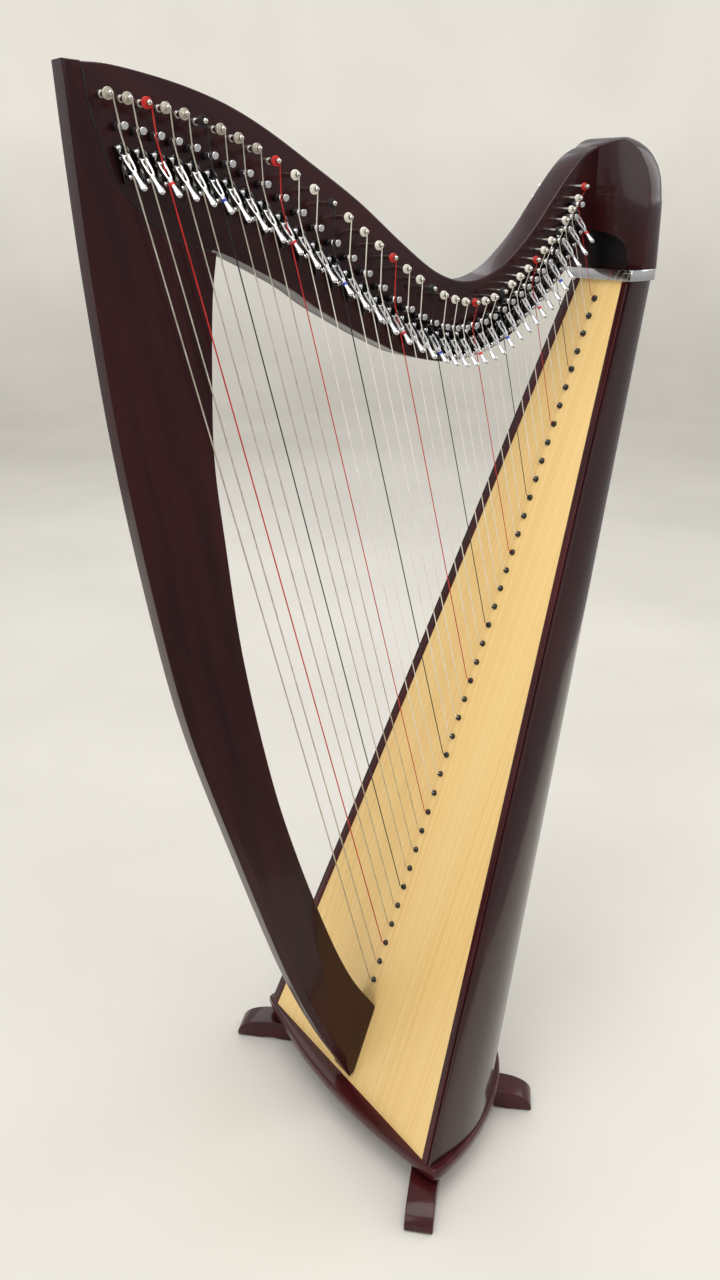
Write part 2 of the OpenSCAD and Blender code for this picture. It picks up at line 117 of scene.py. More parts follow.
def neck_far(x):
    return GAP + NECK_T + NECK_GROW * (x + 290.0) / 700.0


def half_w(s):
    return (384 + (74 - 384) * s / BL) / 2


def box_d(s):
    return 196 + (66 - 196) * s / BL


def eye_at(i):
    return float(cr(EYE_S, i / 4))


def bridge(i):
    return cr(BRIDGE_K, i / 4)


def pin(i):
    return cr(PIN_K, i / 4)


def str_r(i):
    return 0.85 - 0.3 * i / 12 if i < 12 else 0.7 - 0.35 * (i - 12) / 26


def coil_r(i):
    return 5.6 - 1.2 * i / 37


def rest_pt(i):
    b = bridge(i)
    return np.array([b[0] - 2.45 - str_r(i), b[1]])


def lean(i):
    s = eye_at(i)
    b = rest_pt(i)
    return math.degrees(math.atan((s * sind(TILT) - b[0]) / (b[1] - BZ - s * cosd(TILT))))


# ------------------------------------------------------------------ frames: all return unshifted mm
def board_w(p):
    """Board frame (x into the box, y, s up the board) to the harp's frame."""
    p = np.asarray(p, float).reshape(-1, 3)
    return np.stack([p[:, 0] * cosd(TILT) + p[:, 2] * sind(TILT), p[:, 1],
                     BZ - p[:, 0] * sind(TILT) + p[:, 2] * cosd(TILT)], 1)


def string_w(p):
    """String frame to the harp's frame."""
    p = np.asarray(p, float).reshape(-1, 3) - [0, 0, BZ]
    q = (p * cosd(SPT) + np.cross(np.broadcast_to(VAX, p.shape), p) * sind(SPT)
         + np.outer(p @ VAX, VAX) * (1 - cosd(SPT)))
    return q + [0, 0, BZ]


def at_bridge(i):
    b, L = rest_pt(i), lean(i)

    def f(p):
        p = np.asarray(p, float).reshape(-1, 3)
        return string_w(np.stack([b[0] + p[:, 0] * cosd(L) - p[:, 2] * sind(L), p[:, 1],
                                  b[1] + p[:, 0] * sind(L) + p[:, 2] * cosd(L)], 1))
    return f


def at_lever(i):
    g, d = at_bridge(i), float(cr(LEVER_K, i / 4))
    return lambda p: g(np.asarray(p, float).reshape(-1, 3) + [0, PIVOT_Y, -d])


def at_axis(x, z):
    """Local z of a lathe runs along +y of the string frame, through (x, z)."""
    def f(p):
        p = np.asarray(p, float).reshape(-1, 3)
        return string_w(np.stack([x + p[:, 0], p[:, 2], z - p[:, 1]], 1))
    return f


def rot_x(a):
    c, s = cosd(a), sind(a)

    def f(p):
        p = np.asarray(p, float).reshape(-1, 3)
        return np.stack([p[:, 0], p[:, 1] * c - p[:, 2] * s, p[:, 1] * s + p[:, 2] * c], 1)
    return f


# ------------------------------------------------------------------ mesh building
class Mesh:
    """Vertices and faces of several closed shells, with a material index each."""

    def __init__(self):
        self.v, self.f, self.m, self.n = [], [], [], 0

    def add(self, verts, faces, mat=0, turn=True):
        verts = np.asarray(verts, float).reshape(-1, 3)
        if turn:
            vol = 0.0
            for f in faces:
                a = verts[f[0]]
                for k in range(1, len(f) - 1):
                    vol += float(np.dot(a, np.cross(verts[f[k]], verts[f[k + 1]])))
            if vol < 0:
                faces = [tuple(reversed(f)) for f in faces]
        self.v.append(verts)
        self.f.extend([tuple(i + self.n for i in f) for f in faces])
        self.m.extend([mat] * len(faces))
        self.n += len(verts)

    def make(self, name, mats, nodes=(), body=ROOT, slot=None, sharp=32, flat=False):
        v = np.concatenate(self.v)
        v = (v + [SX, 0, 0]) / 1000.0
        me = bpy.data.meshes.new(name)
        me.from_pydata(v.tolist(), [], self.f)
        me.validate()
        for m in mats:
            me.materials.append(m)
        if len(mats) > 1:
            me.polygons.foreach_set("material_index", self.m[:len(me.polygons)])
        me.update()
        if not flat:
            me.shade_smooth()
            me.set_sharp_from_angle(angle=math.radians(sharp))
        o = bpy.data.objects.new(name, me)
        bpy.context.scene.collection.objects.link(o)
        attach(o, body)
        if nodes:
            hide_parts(*nodes)
        return o


def loft(rings, cap0=True, cap1=True, loop=False):
    """Quads between rings of the same size; rings are closed loops."""
    K, m = len(rings), len(rings[0])
    v = np.concatenate([np.asarray(r, float) for r in rings])
    f = []
    for j in range(K if loop else K - 1):
        a, b = j * m, ((j + 1) % K) * m
        for k in range(m):
            q = (k + 1) % m
            f.append((a + k, a + q, b + q, b + k))
    if not loop:
        if cap0:
            f.append(tuple(range(m - 1, -1, -1)))
        if cap1:
            f.append(tuple((K - 1) * m + k for k in range(m)))
    return v, f


def lathe(prof, n=32, closed=False):
    """Turns (r, h) points about local z. A point at r = 0 becomes a pole."""
    v, idx = [], []
    for r, h in prof:
        if r < 1e-6:
            idx.append([len(v)] * n)
            v.append((0, 0, h))
        else:
            idx.append([len(v) + k for k in range(n)])
            v.extend((r * math.cos(2 * math.pi * k / n), r * math.sin(2 * math.pi * k / n), h) for k in range(n))
    f = []
    P = len(prof)
    for j in range(P if closed else P - 1):
        a, b = idx[j], idx[(j + 1) % P]
        for k in range(n):
            q = (k + 1) % n
            face = []
            for i in (a[k], a[q], b[q], b[k]):
                if i not in face:
                    face.append(i)
            if len(face) > 2:
                f.append(tuple(face))
    if not closed:
        if prof[0][0] > 1e-6:
            f.append(tuple(reversed(idx[0])))
        if prof[-1][0] > 1e-6:
            f.append(tuple(idx[-1]))
    return np.array(v, float), f


def sweep(path, radii, m=10, squash=None, up=None):
    """Closed tube along a path; radii may differ per point, squash is (a, b) factors per point."""
    path = np.asarray(path, float)
    n = len(path)
    d = np.zeros_like(path)
    seg = path[1:] - path[:-1]
    seg /= np.linalg.norm(seg, axis=1)[:, None]
    d[0], d[-1] = seg[0], seg[-1]
    if n > 2:
        d[1:-1] = seg[:-1] + seg[1:]
    d /= np.linalg.norm(d, axis=1)[:, None]
    x = np.array(up if up is not None else [0, 1, 0.01], float)
    rings = []
    for k in range(n):
        x = x - d[k] * (x @ d[k])
        x /= np.linalg.norm(x)
        y = np.cross(d[k], x)
        r = radii if np.isscalar(radii) else radii[k]
        a, b = (1, 1) if squash is None else squash[k]
        rings.append([path[k] + r * (math.cos(2 * math.pi * j / m) * a * x + math.sin(2 * math.pi * j / m) * b * y)
                      for j in range(m)])
    return loft(rings)


def ccw(P):
    P = np.asarray(P, float)
    x, y = P[:, 0], P[:, 1]
    return P if np.sum(x * np.roll(y, -1) - np.roll(x, -1) * y) > 0 else P[::-1].copy()


def inset(P, d):
    """Mitred inset of a counter-clockwise polygon. d is one distance, or one for each edge k, from point k to k+1."""
    n = len(P)
    d = np.full(n, float(d)) if np.isscalar(d) else np.asarray(d, float)
    e = np.roll(P, -1, 0) - P
    L = np.linalg.norm(e, axis=1)
    nrm = np.stack([-e[:, 1], e[:, 0]], 1) / L[:, None]      # points inwards
    out = np.empty_like(P)
    for k in range(n):
        n1, n2, d1, d2 = nrm[k - 1], nrm[k], d[k - 1], d[k]
        det = n1[0] * n2[1] - n1[1] * n2[0]
        if abs(det) < 0.12:
            a = n1 + n2
            a /= np.linalg.norm(a)
            out[k] = P[k] + a * (d1 + d2) / 2
        else:
            out[k] = P[k] + [(d1 * n2[1] - d2 * n1[1]) / det, (n1[0] * d2 - n2[0] * d1) / det]
    return out


def arc_levels(r, n=4):
    """(depth, inset) pairs of a quarter-round edge of radius r, from the face inwards."""
    return [(r * (1 - math.sin(math.pi / 2 * (k / n))), r * (1 - math.cos(math.pi / 2 * (k / n)))) for k in range(n, -1, -1)]


def clean(P, tol=0.05):
    P = np.asarray(P, float)
    keep = [k for k in range(len(P)) if np.linalg.norm(P[k] - P[k - 1]) > tol]
    return P[keep]


# ------------------------------------------------------------------ materials
def lin(r, g, b):
    def c(u):
        u /= 255.0
        return u / 12.92 if u <= 0.04045 else ((u + 0.055) / 1.055) ** 2.4
    return (c(r), c(g), c(b), 1.0)


def mat(name, base=(0.5, 0.5, 0.5, 1), rough=0.4, metal=0.0, **kw):
    m = bpy.data.materials.new(name)
    m.use_nodes = True
    b = m.node_tree.nodes["Principled BSDF"]
    b.inputs["Base Color"].default_value = base
    b.inputs["Roughness"].default_value = rough
    b.inputs["Metallic"].default_value = metal
    for k, v in kw.items():
        b.inputs[k.replace("_", " ")].default_value = v
    return m, m.node_tree, b


def node(t, kind, **kw):
    n = t.nodes.new(kind)
    for k, v in kw.items():
        if k.startswith("i_"):
            key = k[2:]
            key = int(key) if key.isdigit() else key.replace("_", " ")
            n.inputs[key].default_value = v
        else:
            setattr(n, k, v)
    return n


def ramp(t, fac, stops):
    n = t.nodes.new("ShaderNodeValToRGB")
    el = n.color_ramp.elements
    el[0].position, el[0].color = stops[0]
    el[1].position, el[1].color = stops[-1]
    for p, c in stops[1:-1]:
        e = el.new(p)
        e.color = c
    t.links.new(fac, n.inputs["Fac"])
    return n.outputs["Color"]


def grain_coord(t, rot, scale):
    """Coordinates turned so that the grain runs along z, then stretched."""
    tc = t.nodes.new("ShaderNodeTexCoord")
    m1 = t.nodes.new("ShaderNodeMapping")
    m1.vector_type = "POINT"
    m1.inputs["Rotation"].default_value = [math.radians(a) for a in rot]
    m2 = t.nodes.new("ShaderNodeMapping")
    m2.vector_type = "POINT"
    m2.inputs["Scale"].default_value = scale
    t.links.new(tc.outputs["Object"], m1.inputs["Vector"])
    t.links.new(m1.outputs["Vector"], m2.inputs["Vector"])
    return m2.outputs["Vector"]


def lacquer(name, rot=(0, 0, 0), dark=(32, 10, 12), lite=(52, 17, 20), wide=46, long=3.2, rough=0.3, coat=0.42):
    """Burgundy stain over close-grained wood, under a clear gloss coat."""
    m, t, b = mat(name, rough=rough, Coat_Weight=coat, Coat_Roughness=0.09, Coat_IOR=1.48)
    b.inputs["Specular IOR Level"].default_value = 0.18
    v = grain_coord(t, rot, (wide, wide, long))
    n1 = node(t, "ShaderNodeTexNoise", i_Scale=1.0, i_Detail=5.0, i_Roughness=0.55, i_Distortion=0.25)
    t.links.new(v, n1.inputs["Vector"])
    v2 = grain_coord(t, rot, (wide * 9, wide * 9, long * 5))
    n2 = node(t, "ShaderNodeTexNoise", i_Scale=1.0, i_Detail=3.0, i_Roughness=0.6)
    t.links.new(v2, n2.inputs["Vector"])
    mx = node(t, "ShaderNodeMath", operation="MULTIPLY_ADD")
    mx.inputs[1].default_value = 0.35
    t.links.new(n2.outputs["Fac"], mx.inputs[0])
    t.links.new(n1.outputs["Fac"], mx.inputs[2])
    col = ramp(t, mx.outputs[0], [(0.42, lin(*dark)), (0.62, lin(*[(a + c) / 2 for a, c in zip(dark, lite)])), (0.86, lin(*lite))])
    t.links.new(col, b.inputs["Base Color"])
    bump = node(t, "ShaderNodeBump", i_Strength=0.05, i_Distance=0.0004)
    t.links.new(n2.outputs["Fac"], bump.inputs["Height"])
    t.links.new(bump.outputs["Normal"], b.inputs["Normal"])
    # faint unevenness of the clear coat
    tc = t.nodes.new("ShaderNodeTexCoord")
    n3 = node(t, "ShaderNodeTexNoise", i_Scale=26.0, i_Detail=2.0)
    t.links.new(tc.outputs["Object"], n3.inputs["Vector"])
    b3 = node(t, "ShaderNodeBump", i_Strength=0.035, i_Distance=0.002)
    t.links.new(n3.outputs["Fac"], b3.inputs["Height"])
    t.links.new(b3.outputs["Normal"], b.inputs["Coat Normal"])
    return m


def spruce_mat(name):
    """Quarter-sawn spruce, its grain running up the board."""
    m, t, b = mat(name, rough=0.42, Coat_Weight=0.35, Coat_Roughness=0.22)
    b.inputs["Specular IOR Level"].default_value = 0.4
    rot = (0, -TILT, 0)
    # annual rings: uneven lines across the board
    v = grain_coord(t, rot, (300.0, 300.0, 0.35))
    n1 = node(t, "ShaderNodeTexNoise", i_Scale=1.0, i_Detail=3.0, i_Roughness=0.65)
    t.links.new(v, n1.inputs["Vector"])
    v2 = grain_coord(t, rot, (1.0, 1.0, 0.02))
    w = node(t, "ShaderNodeTexWave", wave_type="BANDS", bands_direction="Y", wave_profile="SAW",
             i_Scale=92.0, i_Distortion=2.2, i_Detail=2.0, i_Detail_Scale=1.4, i_Detail_Roughness=0.5)
    t.links.new(v2, w.inputs["Vector"])
    v3 = grain_coord(t, rot, (26.0, 26.0, 0.9))
    n2 = node(t, "ShaderNodeTexNoise", i_Scale=1.0, i_Detail=2.0)
    t.links.new(v3, n2.inputs["Vector"])
    a = node(t, "ShaderNodeMath", operation="MULTIPLY_ADD")
    a.inputs[1].default_value = 0.55
    t.links.new(w.outputs["Fac"], a.inputs[0])
    t.links.new(n1.outputs["Fac"], a.inputs[2])
    a2 = node(t, "ShaderNodeMath", operation="MULTIPLY_ADD")
    a2.inputs[1].default_value = 0.5
    t.links.new(n2.outputs["Fac"], a2.inputs[0])
    t.links.new(a.outputs[0], a2.inputs[2])
    tone = node(t, "ShaderNodeMapRange", i_From_Min=0.62, i_From_Max=1.42, i_To_Min=0.0, i_To_Max=1.0)
    t.links.new(a2.outputs[0], tone.inputs["Value"])
    col = ramp(t, tone.outputs["Result"], [(0.0, lin(247, 215, 148)), (0.45, lin(244, 209, 140)), (0.75, lin(238, 199, 128)), (1.0, lin(224, 180, 108))])
    t.links.new(col, b.inputs["Base Color"])
    # fine fibres and pores
    v4 = grain_coord(t, rot, (1500.0, 1500.0, 26.0))
    n4 = node(t, "ShaderNodeTexNoise", i_Scale=1.0, i_Detail=2.0)
    t.links.new(v4, n4.inputs["Vector"])
    hm = node(t, "ShaderNodeMath", operation="MULTIPLY_ADD")
    hm.inputs[1].default_value = 0.4
    t.links.new(n4.outputs["Fac"], hm.inputs[0])
    t.links.new(a.outputs[0], hm.inputs[2])
    bump = node(t, "ShaderNodeBump", i_Strength=0.12, i_Distance=0.0004)
    t.links.new(hm.outputs[0], bump.inputs["Height"])
    t.links.new(bump.outputs["Normal"], b.inputs["Normal"])
    rr = node(t, "ShaderNodeMapRange", i_From_Min=0.2, i_From_Max=0.9, i_To_Min=0.34, i_To_Max=0.52)
    t.links.new(n1.outputs["Fac"], rr.inputs["Value"])
    t.links.new(rr.outputs["Result"], b.inputs["Roughness"])
    return m


def bare_wood(name, c0=(176, 134, 84), c1=(206, 168, 112), rot=(0, -TILT, 0)):
    m, t, b = mat(name, rough=0.7)
    v = grain_coord(t, rot, (120.0, 120.0, 5.0))
    n1 = node(t, "ShaderNodeTexNoise", i_Scale=1.0, i_Detail=6.0, i_Roughness=0.6, i_Distortion=0.4)
    t.links.new(v, n1.inputs["Vector"])
    t.links.new(ramp(t, n1.outputs["Fac"], [(0.3, lin(*c0)), (0.7, lin(*c1))]), b.inputs["Base Color"])
    bump = node(t, "ShaderNodeBump", i_Strength=0.2, i_Distance=0.0005)
    t.links.new(n1.outputs["Fac"], bump.inputs["Height"])
    t.links.new(bump.outputs["Normal"], b.inputs["Normal"])
    return m


def metal(name, base, rough, spread=0.05, scale=900.0, bump=0.03):
    """Plated or polished metal with fine scratches and a slightly uneven gloss."""
    m, t, b = mat(name, base=base, rough=rough, metal=1.0)
    tc = t.nodes.new("ShaderNodeTexCoord")
    n1 = node(t, "ShaderNodeTexNoise", i_Scale=scale * 0.12, i_Detail=4.0)
    t.links.new(tc.outputs["Object"], n1.inputs["Vector"])
    rr = node(t, "ShaderNodeMapRange", i_From_Min=0.3, i_From_Max=0.7, i_To_Min=max(rough - spread, 0.02), i_To_Max=rough + spread)
    t.links.new(n1.outputs["Fac"], rr.inputs["Value"])
    t.links.new(rr.outputs["Result"], b.inputs["Roughness"])
    dk = tuple(c * 0.86 for c in base[:3]) + (1.0,)
    t.links.new(ramp(t, n1.outputs["Fac"], [(0.3, dk), (0.62, base)]), b.inputs["Base Color"])
    n2 = node(t, "ShaderNodeTexNoise", i_Scale=scale, i_Detail=2.0)
    t.links.new(tc.outputs["Object"], n2.inputs["Vector"])
    bp = node(t, "ShaderNodeBump", i_Strength=bump, i_Distance=0.0002)
    t.links.new(n2.outputs["Fac"], bp.inputs["Height"])
    t.links.new(bp.outputs["Normal"], b.inputs["Normal"])
    return m


def painted(name, c0, c1, rough, scale=400.0, coat=0.0, bump=0.04, spread=0.06):
    m, t, b = mat(name, rough=rough, Coat_Weight=coat, Coat_Roughness=0.08)
    tc = t.nodes.new("ShaderNodeTexCoord")
    n1 = node(t, "ShaderNodeTexNoise", i_Scale=scale, i_Detail=4.0)
    t.links.new(tc.outputs["Object"], n1.inputs["Vector"])
    t.links.new(ramp(t, n1.outputs["Fac"], [(0.35, lin(*c0)), (0.65, lin(*c1))]), b.inputs["Base Color"])
    rr = node(t, "ShaderNodeMapRange", i_From_Min=0.3, i_From_Max=0.7, i_To_Min=max(0.03, rough - spread), i_To_Max=rough + spread)
    t.links.new(n1.outputs["Fac"], rr.inputs["Value"])
    t.links.new(rr.outputs["Result"], b.inputs["Roughness"])
    bp = node(t, "ShaderNodeBump", i_Strength=bump, i_Distance=0.0003)
    t.links.new(n1.outputs["Fac"], bp.inputs["Height"])
    t.links.new(bp.outputs["Normal"], b.inputs["Normal"])
    return m


def string_mat(name, c0, c1, rough=0.35, wound=False, metal_=0.0, trans=0.0):
    m, t, b = mat(name, rough=rough, metal=metal_)
    b.inputs["Transmission Weight"].default_value = trans
    tc = t.nodes.new("ShaderNodeTexCoord")
    n1 = node(t, "ShaderNodeTexNoise", i_Scale=60.0, i_Detail=3.0)
    t.links.new(tc.outputs["Object"], n1.inputs["Vector"])
    t.links.new(ramp(t, n1.outputs["Fac"], [(0.35, lin(*c0)), (0.65, lin(*c1))]), b.inputs["Base Color"])
    w = node(t, "ShaderNodeTexWave", wave_type="BANDS", bands_direction="Z",
             i_Scale=320.0 if wound else 90.0, i_Distortion=0.0 if wound else 3.0)
    t.links.new(tc.outputs["Object"], w.inputs["Vector"])
    bp = node(t, "ShaderNodeBump", i_Strength=0.5 if wound else 0.1, i_Distance=0.0003)
    t.links.new(w.outputs["Fac"], bp.inputs["Height"])
    t.links.new(bp.outputs["Normal"], b.inputs["Normal"])
    return m


M_PILLAR = lacquer("lacquer_pillar", rot=(0, 10, 0), coat=0.24)
M_NECK = lacquer("lacquer_neck", rot=(0, 62, 0), long=4.0)
M_SHOULDER = lacquer("lacquer_shoulder", rot=(0, 0, 0))
M_SHELL = lacquer("lacquer_shell", rot=(0, -TILT, 0), wide=30, long=2.2, coat=0.7)
M_BIND = lacquer("lacquer_binding", rot=(0, -TILT, 0), dark=(42, 13, 15), lite=(74, 22, 26))
M_BASE = lacquer("lacquer_base", rot=(90, 0, 0), dark=(44, 12, 15), lite=(78, 22, 26))
M_FEET = lacquer("lacquer_feet", rot=(90, 0, 20), dark=(42, 12, 15), lite=(72, 21, 24))
M_SPRUCE = spruce_mat("spruce_board")
M_INNER = bare_wood("bare_wood_inside")
M_RIB = bare_wood("rib_wood", (150, 104, 62), (182, 138, 88))
M_CHROME = metal("chrome_polished", (0.86, 0.86, 0.86, 1), 0.08)
M_PINS = metal("steel_nickel", (0.80, 0.77, 0.70, 1), 0.14)
M_BAND = metal("chrome_band", (0.84, 0.84, 0.85, 1), 0.10, scale=500.0)
M_BLACK = painted("black_gloss", (7, 7, 9), (20, 20, 22), 0.22, coat=0.4)
M_BRACKET = metal("bracket_dark_steel", (0.17, 0.165, 0.16, 1), 0.22)
M_RUBBER = painted("rubber_sole", (16, 16, 16), (32, 31, 30), 0.75, scale=700.0, bump=0.2)
M_RED = painted("sleeve_red", (196, 22, 14), (222, 38, 24), 0.35, coat=0.3)
M_BLUE = painted("sleeve_blue", (20, 44, 168), (30, 62, 196), 0.35, coat=0.3)
# painted shade: a near-black material that stands in for the shade in the pillar-neck seam and in the recess under the
# shoulder
M_PAINTED_SHADE = painted("painted_shade_dark", (10, 9, 11), (24, 20, 23), 0.5)
M_S_NAT = string_mat("string_gut", (224, 220, 208), (240, 237, 228), 0.32)
M_S_WIRE = string_mat("string_wound_steel", (196, 190, 174), (228, 222, 208), 0.3, wound=True, metal_=0.8)
M_S_RED = string_mat("string_red", (176, 22, 22), (206, 44, 36), 0.38)
M_S_BLK = string_mat("string_black", (16, 16, 20), (38, 38, 46), 0.34)

# CAD nodes that keep their own mesh
for n, m in (("soundboard", M_SPRUCE), ("inner_frame", M_INNER), ("string_rib", M_RIB), ("foot_bolts", M_PINS)):
    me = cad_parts[n].data
    me.materials.clear()
    me.materials.append(m)


# ------------------------------------------------------------------ pillar
def xz_w(P, y):
    """Outline (x, z) at depth y of the harp's frame."""
    return np.stack([P[:, 0], np.full(len(P), float(y)), P[:, 1]], 1)


def fillet(P, k, r, n=5):
    """Rounds corner k of polygon P."""
    a, b, c = P[k - 1], P[k], P[(k + 1) % len(P)]
    u, w = (a - b) / np.linalg.norm(a - b), (c - b) / np.linalg.norm(c - b)
    ang = math.acos(max(-1, min(1, float(u @ w))))
    t = r / math.tan(ang / 2)
    p, q = b + u * t, b + w * t
    arc = [(1 - s) ** 2 * p + 2 * s * (1 - s) * b + s * s * q for s in np.linspace(0, 1, n)]
    return np.array(arc)


def build_pillar():
    out = smooth(PIL_OUT, 6)
    # the foot stands on the soundboard: follow the board's face from the outer to the inner edge
    inn = smooth(PIL_IN, 6)
    # points of the outline clipped to the front of the board (x = (z - BZ) tan tilt)
    def ahead(p):
        return p[0] * cosd(TILT) - (p[1] - BZ) * sind(TILT) < -1e-6
    poly = [p for p in out] + [[-2, BZ + 12], [8, BZ + 20]] + [p for p in inn] + [p for p in smooth(SEAM, 6)]
    poly = clean(np.array(poly, float))
    res = []
    n = len(poly)
    tags = []
    for k in range(n):
        a, b = poly[k], poly[(k + 1) % n]
        fa, fb = ahead(a), ahead(b)
        da = a[0] * cosd(TILT) - (a[1] - BZ) * sind(TILT)
        db = b[0] * cosd(TILT) - (b[1] - BZ) * sind(TILT)
        if fa:
            res.append(a)
        if fa != fb:
            res.append(a + (b - a) * da / (da - db))
    P = clean(np.array(res))
    P = ccw(P)
    # the foot's upper corner on the board is rounded
    on = [k for k in range(len(P)) if abs(P[k][0] * cosd(TILT) - (P[k][1] - BZ) * sind(TILT)) < 0.4]
    corner = P[max(on, key=lambda j: P[j][1])]
    P = np.array([p for p in P if np.linalg.norm(p - corner) < 1e-9 or np.linalg.norm(p - corner) > 16.0])
    k = int(np.argmin(np.linalg.norm(P - corner, axis=1)))
    P = np.concatenate([P[:k], fillet(P, k, 9.5, 7), P[k + 1:]])
    n = len(P)
    mid = (P + np.roll(P, -1, 0)) / 2
    # kinds of edges: outer, inner, seam, foot on the board
    outer_pts = smooth(PIL_OUT, 30)
    seam_pts = smooth(SEAM, 30)
    kind = []
    for q in mid:
        on_board = abs(q[0] * cosd(TILT) - (q[1] - BZ) * sind(TILT)) < 0.4
        do = np.min(np.linalg.norm(outer_pts - q, axis=1))
        ds = np.min(np.linalg.norm(seam_pts - q, axis=1))
        kind.append("inner" if on_board else "outer" if do < 4 else "seam" if ds < 2.5 else "inner")
    z = mid[:, 1]

    def dist(o, i, s=0.0, f=0.0, top=None):
        return np.array([o[k] if kd == "outer" else i[k] if kd == "inner" else s if kd == "seam" else f
                         for k, kd in enumerate(kind)])
    ones = np.ones(n)
    t = np.clip((1400 - z) / 1300, 0, 1)
    # the near-edge chamfer grows from the head down
    near = np.interp(z, [100, 500, 900, 1100, 1200, 1300, 1400], [12.0, 11.0, 10.5, 10.0, 7.0, 4.0, 1.5])
    deep = 0.34                          # depth of that chamfer for its width
    rings = []
    # near face, its chamfer, the flat front strip and the wide far bevel
    for y, o, i, s in ((-20.0, near + 0.8, 1.7 * ones, 0.75), (-19.85, near + 0.1, 1.1 * ones, 0.5), (-19.5, near * 0.93, 0.6 * ones, 0.4)):
        rings.append(xz_w(inset(P, dist(o, i, s)), y))
    for fr in (0.66, 0.33, 0.08):
        yy = -19.5 + near * deep * (0.93 - fr)
        # per-edge depth of the chamfer differs, so its ring is placed point by point
        d = dist(near * fr, 0.25 * ones * fr, 0.4)
        Q = inset(P, d)
        yk = 0.5 * np.array([yy[k - 1] + yy[k] for k in range(n)])
        flat = np.array([0.0 if kind[k] == "outer" and kind[k - 1] == "outer" else 1.0 for k in range(n)])
        yk = yk * (1 - flat) + (-19.5 + 1.6 * (1 - fr)) * flat
        rings.append(np.stack([Q[:, 0], yk, Q[:, 1]], 1))
    far = 12.5
    for y, o, i in ((5.0, 0.0, 0.0), (6.2, 0.15, 0.0), (7.4, 0.8, 0.0), (18.4, far - 1.0, 0.15), (19.4, far + 0.2, 0.8), (20.0, far + 1.6, 1.9)):
        rings.append(xz_w(inset(P, dist(o * ones, i * ones, 0.4)), y))
    m = Mesh()
    m.add(*loft(rings))
    m.make("pillar_body", [M_PILLAR], nodes=["pillar"], slot="lacquered_wood", sharp=24)


build_pillar()


def build_joint():
    """Dark strip in the joint of pillar and neck: painted shade that stands in for the shadow in the seam groove."""
    S = smooth(SEAM, 5)[1:-1]
    path = [[p[0] + 0.5, -19.55, p[1]] for p in S]
    m = Mesh()
    m.add(*sweep(path, 0.85, 8))
    m.make("pillar_joint_painted_shade", [M_PAINTED_SHADE], slot="lacquered_wood", sharp=60)


build_joint()


# ------------------------------------------------------------------ neck
def build_neck():
    up = smooth(NECK_UP, 5)
    low = smooth(NECK_LOW, 5)
    seam = smooth(SEAM, 6)
    up = up[(up[:, 0] > -286.5) & (up[:, 0] < 410.2)]
    low = low[(low[:, 0] > -158) & (low[:, 0] < 410.2)]
    P = np.concatenate([up, [[411, 1345], [411, 1244]], low, seam])
    fixed = np.array([0] * len(up) + [1, 1] + [0] * len(low) + [1] * len(seam))
    if np.sum(P[:, 0] * np.roll(P[:, 1], -1) - np.roll(P[:, 0], -1) * P[:, 1]) < 0:
        P, fixed = P[::-1].copy(), fixed[::-1].copy()
    keep = [k for k in range(len(P)) if np.linalg.norm(P[k] - P[k - 1]) > 0.05]
    P, fixed = P[keep], fixed[keep]
    n = len(P)
    kind = np.array([1 if fixed[k] and fixed[(k + 1) % n] else 0 for k in range(n)])
    sa, ca = sind(SPT), cosd(SPT)
    rings = []
    r = 2.2
    levels = [(GAP + d, i) for d, i in arc_levels(r, 4)] + [(GAP + NECK_T - d, i) for d, i in reversed(arc_levels(r, 4))]
    for yl, d in levels:
        Q = inset(P, np.where(kind == 1, 0.4 * (P[:, 0] < 300) + min(d, 0.35), d))
        yq = GAP + (yl - GAP) * (neck_far(Q[:, 0]) - GAP) / NECK_T
        W = string_w(np.stack([Q[:, 0], yq, Q[:, 1]], 1))
        for k in range(n):
            if fixed[k]:
                X, Z = Q[k, 0], Q[k, 1] - BZ
                # local y of (X, Y, Z): Y cos a - (v x p) . y sin a
                W[k] = [X, (yq[k] + sa * (VAX[2] * X - VAX[0] * Z)) / ca, Q[k, 1]]
        rings.append(W)
    m = Mesh()
    m.add(*loft(rings))
    m.make("neck_body", [M_NECK], nodes=["neck"], slot="lacquered_wood", sharp=26)


build_neck()


# ------------------------------------------------------------------ shoulder
def sup(a, b, t, n=2.5):
    s, c = math.sin(t), math.cos(t)
    return [b * abs(s) ** (2 / n), -a * math.copysign(abs(c) ** (2 / n), c)]


def head_plan(x0, a, b, m=80):
    return np.array([[x0 + sup(a, b, math.pi * k / m)[0], sup(a, b, math.pi * k / m)[1]] for k in range(m + 1)])


def dome_plan(d, m=36):
    """Level section of the shoulder, drawn in by d."""
    P = [[405.0, 55.0], [405.0, d - 55.5]]
    for k in range(m + 1):
        p = sup(55.5 - d, 72.5 - d, math.pi / 2 * k / m, 3)
        P.append([418 + p[0], p[1]])
    for k in range(m - 1, -1, -1):
        p = sup(55.0, 72.5 - d, math.pi / 2 * k / m, 3)
        P.append([418 + p[0], -p[1]])
    return np.array(P)


def prism(P, fixed, lo, hi):
    """Closed prism of outline P across the axis `fixed`."""
    P = ccw(np.asarray(P, float))
    cols = [k for k in range(3) if k != fixed]
    rings = []
    for h in (lo, hi):
        R = np.full((len(P), 3), float(h))
        R[:, cols[0]], R[:, cols[1]] = P[:, 0], P[:, 1]
        rings.append(R)
    return loft(rings)


def carve(o, shell, op):
    """Boolean of the piece o with a closed shell (verts, faces) in mm."""
    c = Mesh()
    c.add(*shell)
    me = bpy.data.meshes.new("cutter")
    me.from_pydata(((np.concatenate(c.v) + [SX, 0, 0]) / 1000.0).tolist(), [], c.f)
    co = bpy.data.objects.new("cutter", me)
    bpy.context.scene.collection.objects.link(co)
    md = o.modifiers.new("cut", "BOOLEAN")
    md.operation, md.solver, md.object = op, "EXACT", co
    apply_all(o)
    bpy.data.objects.remove(co)


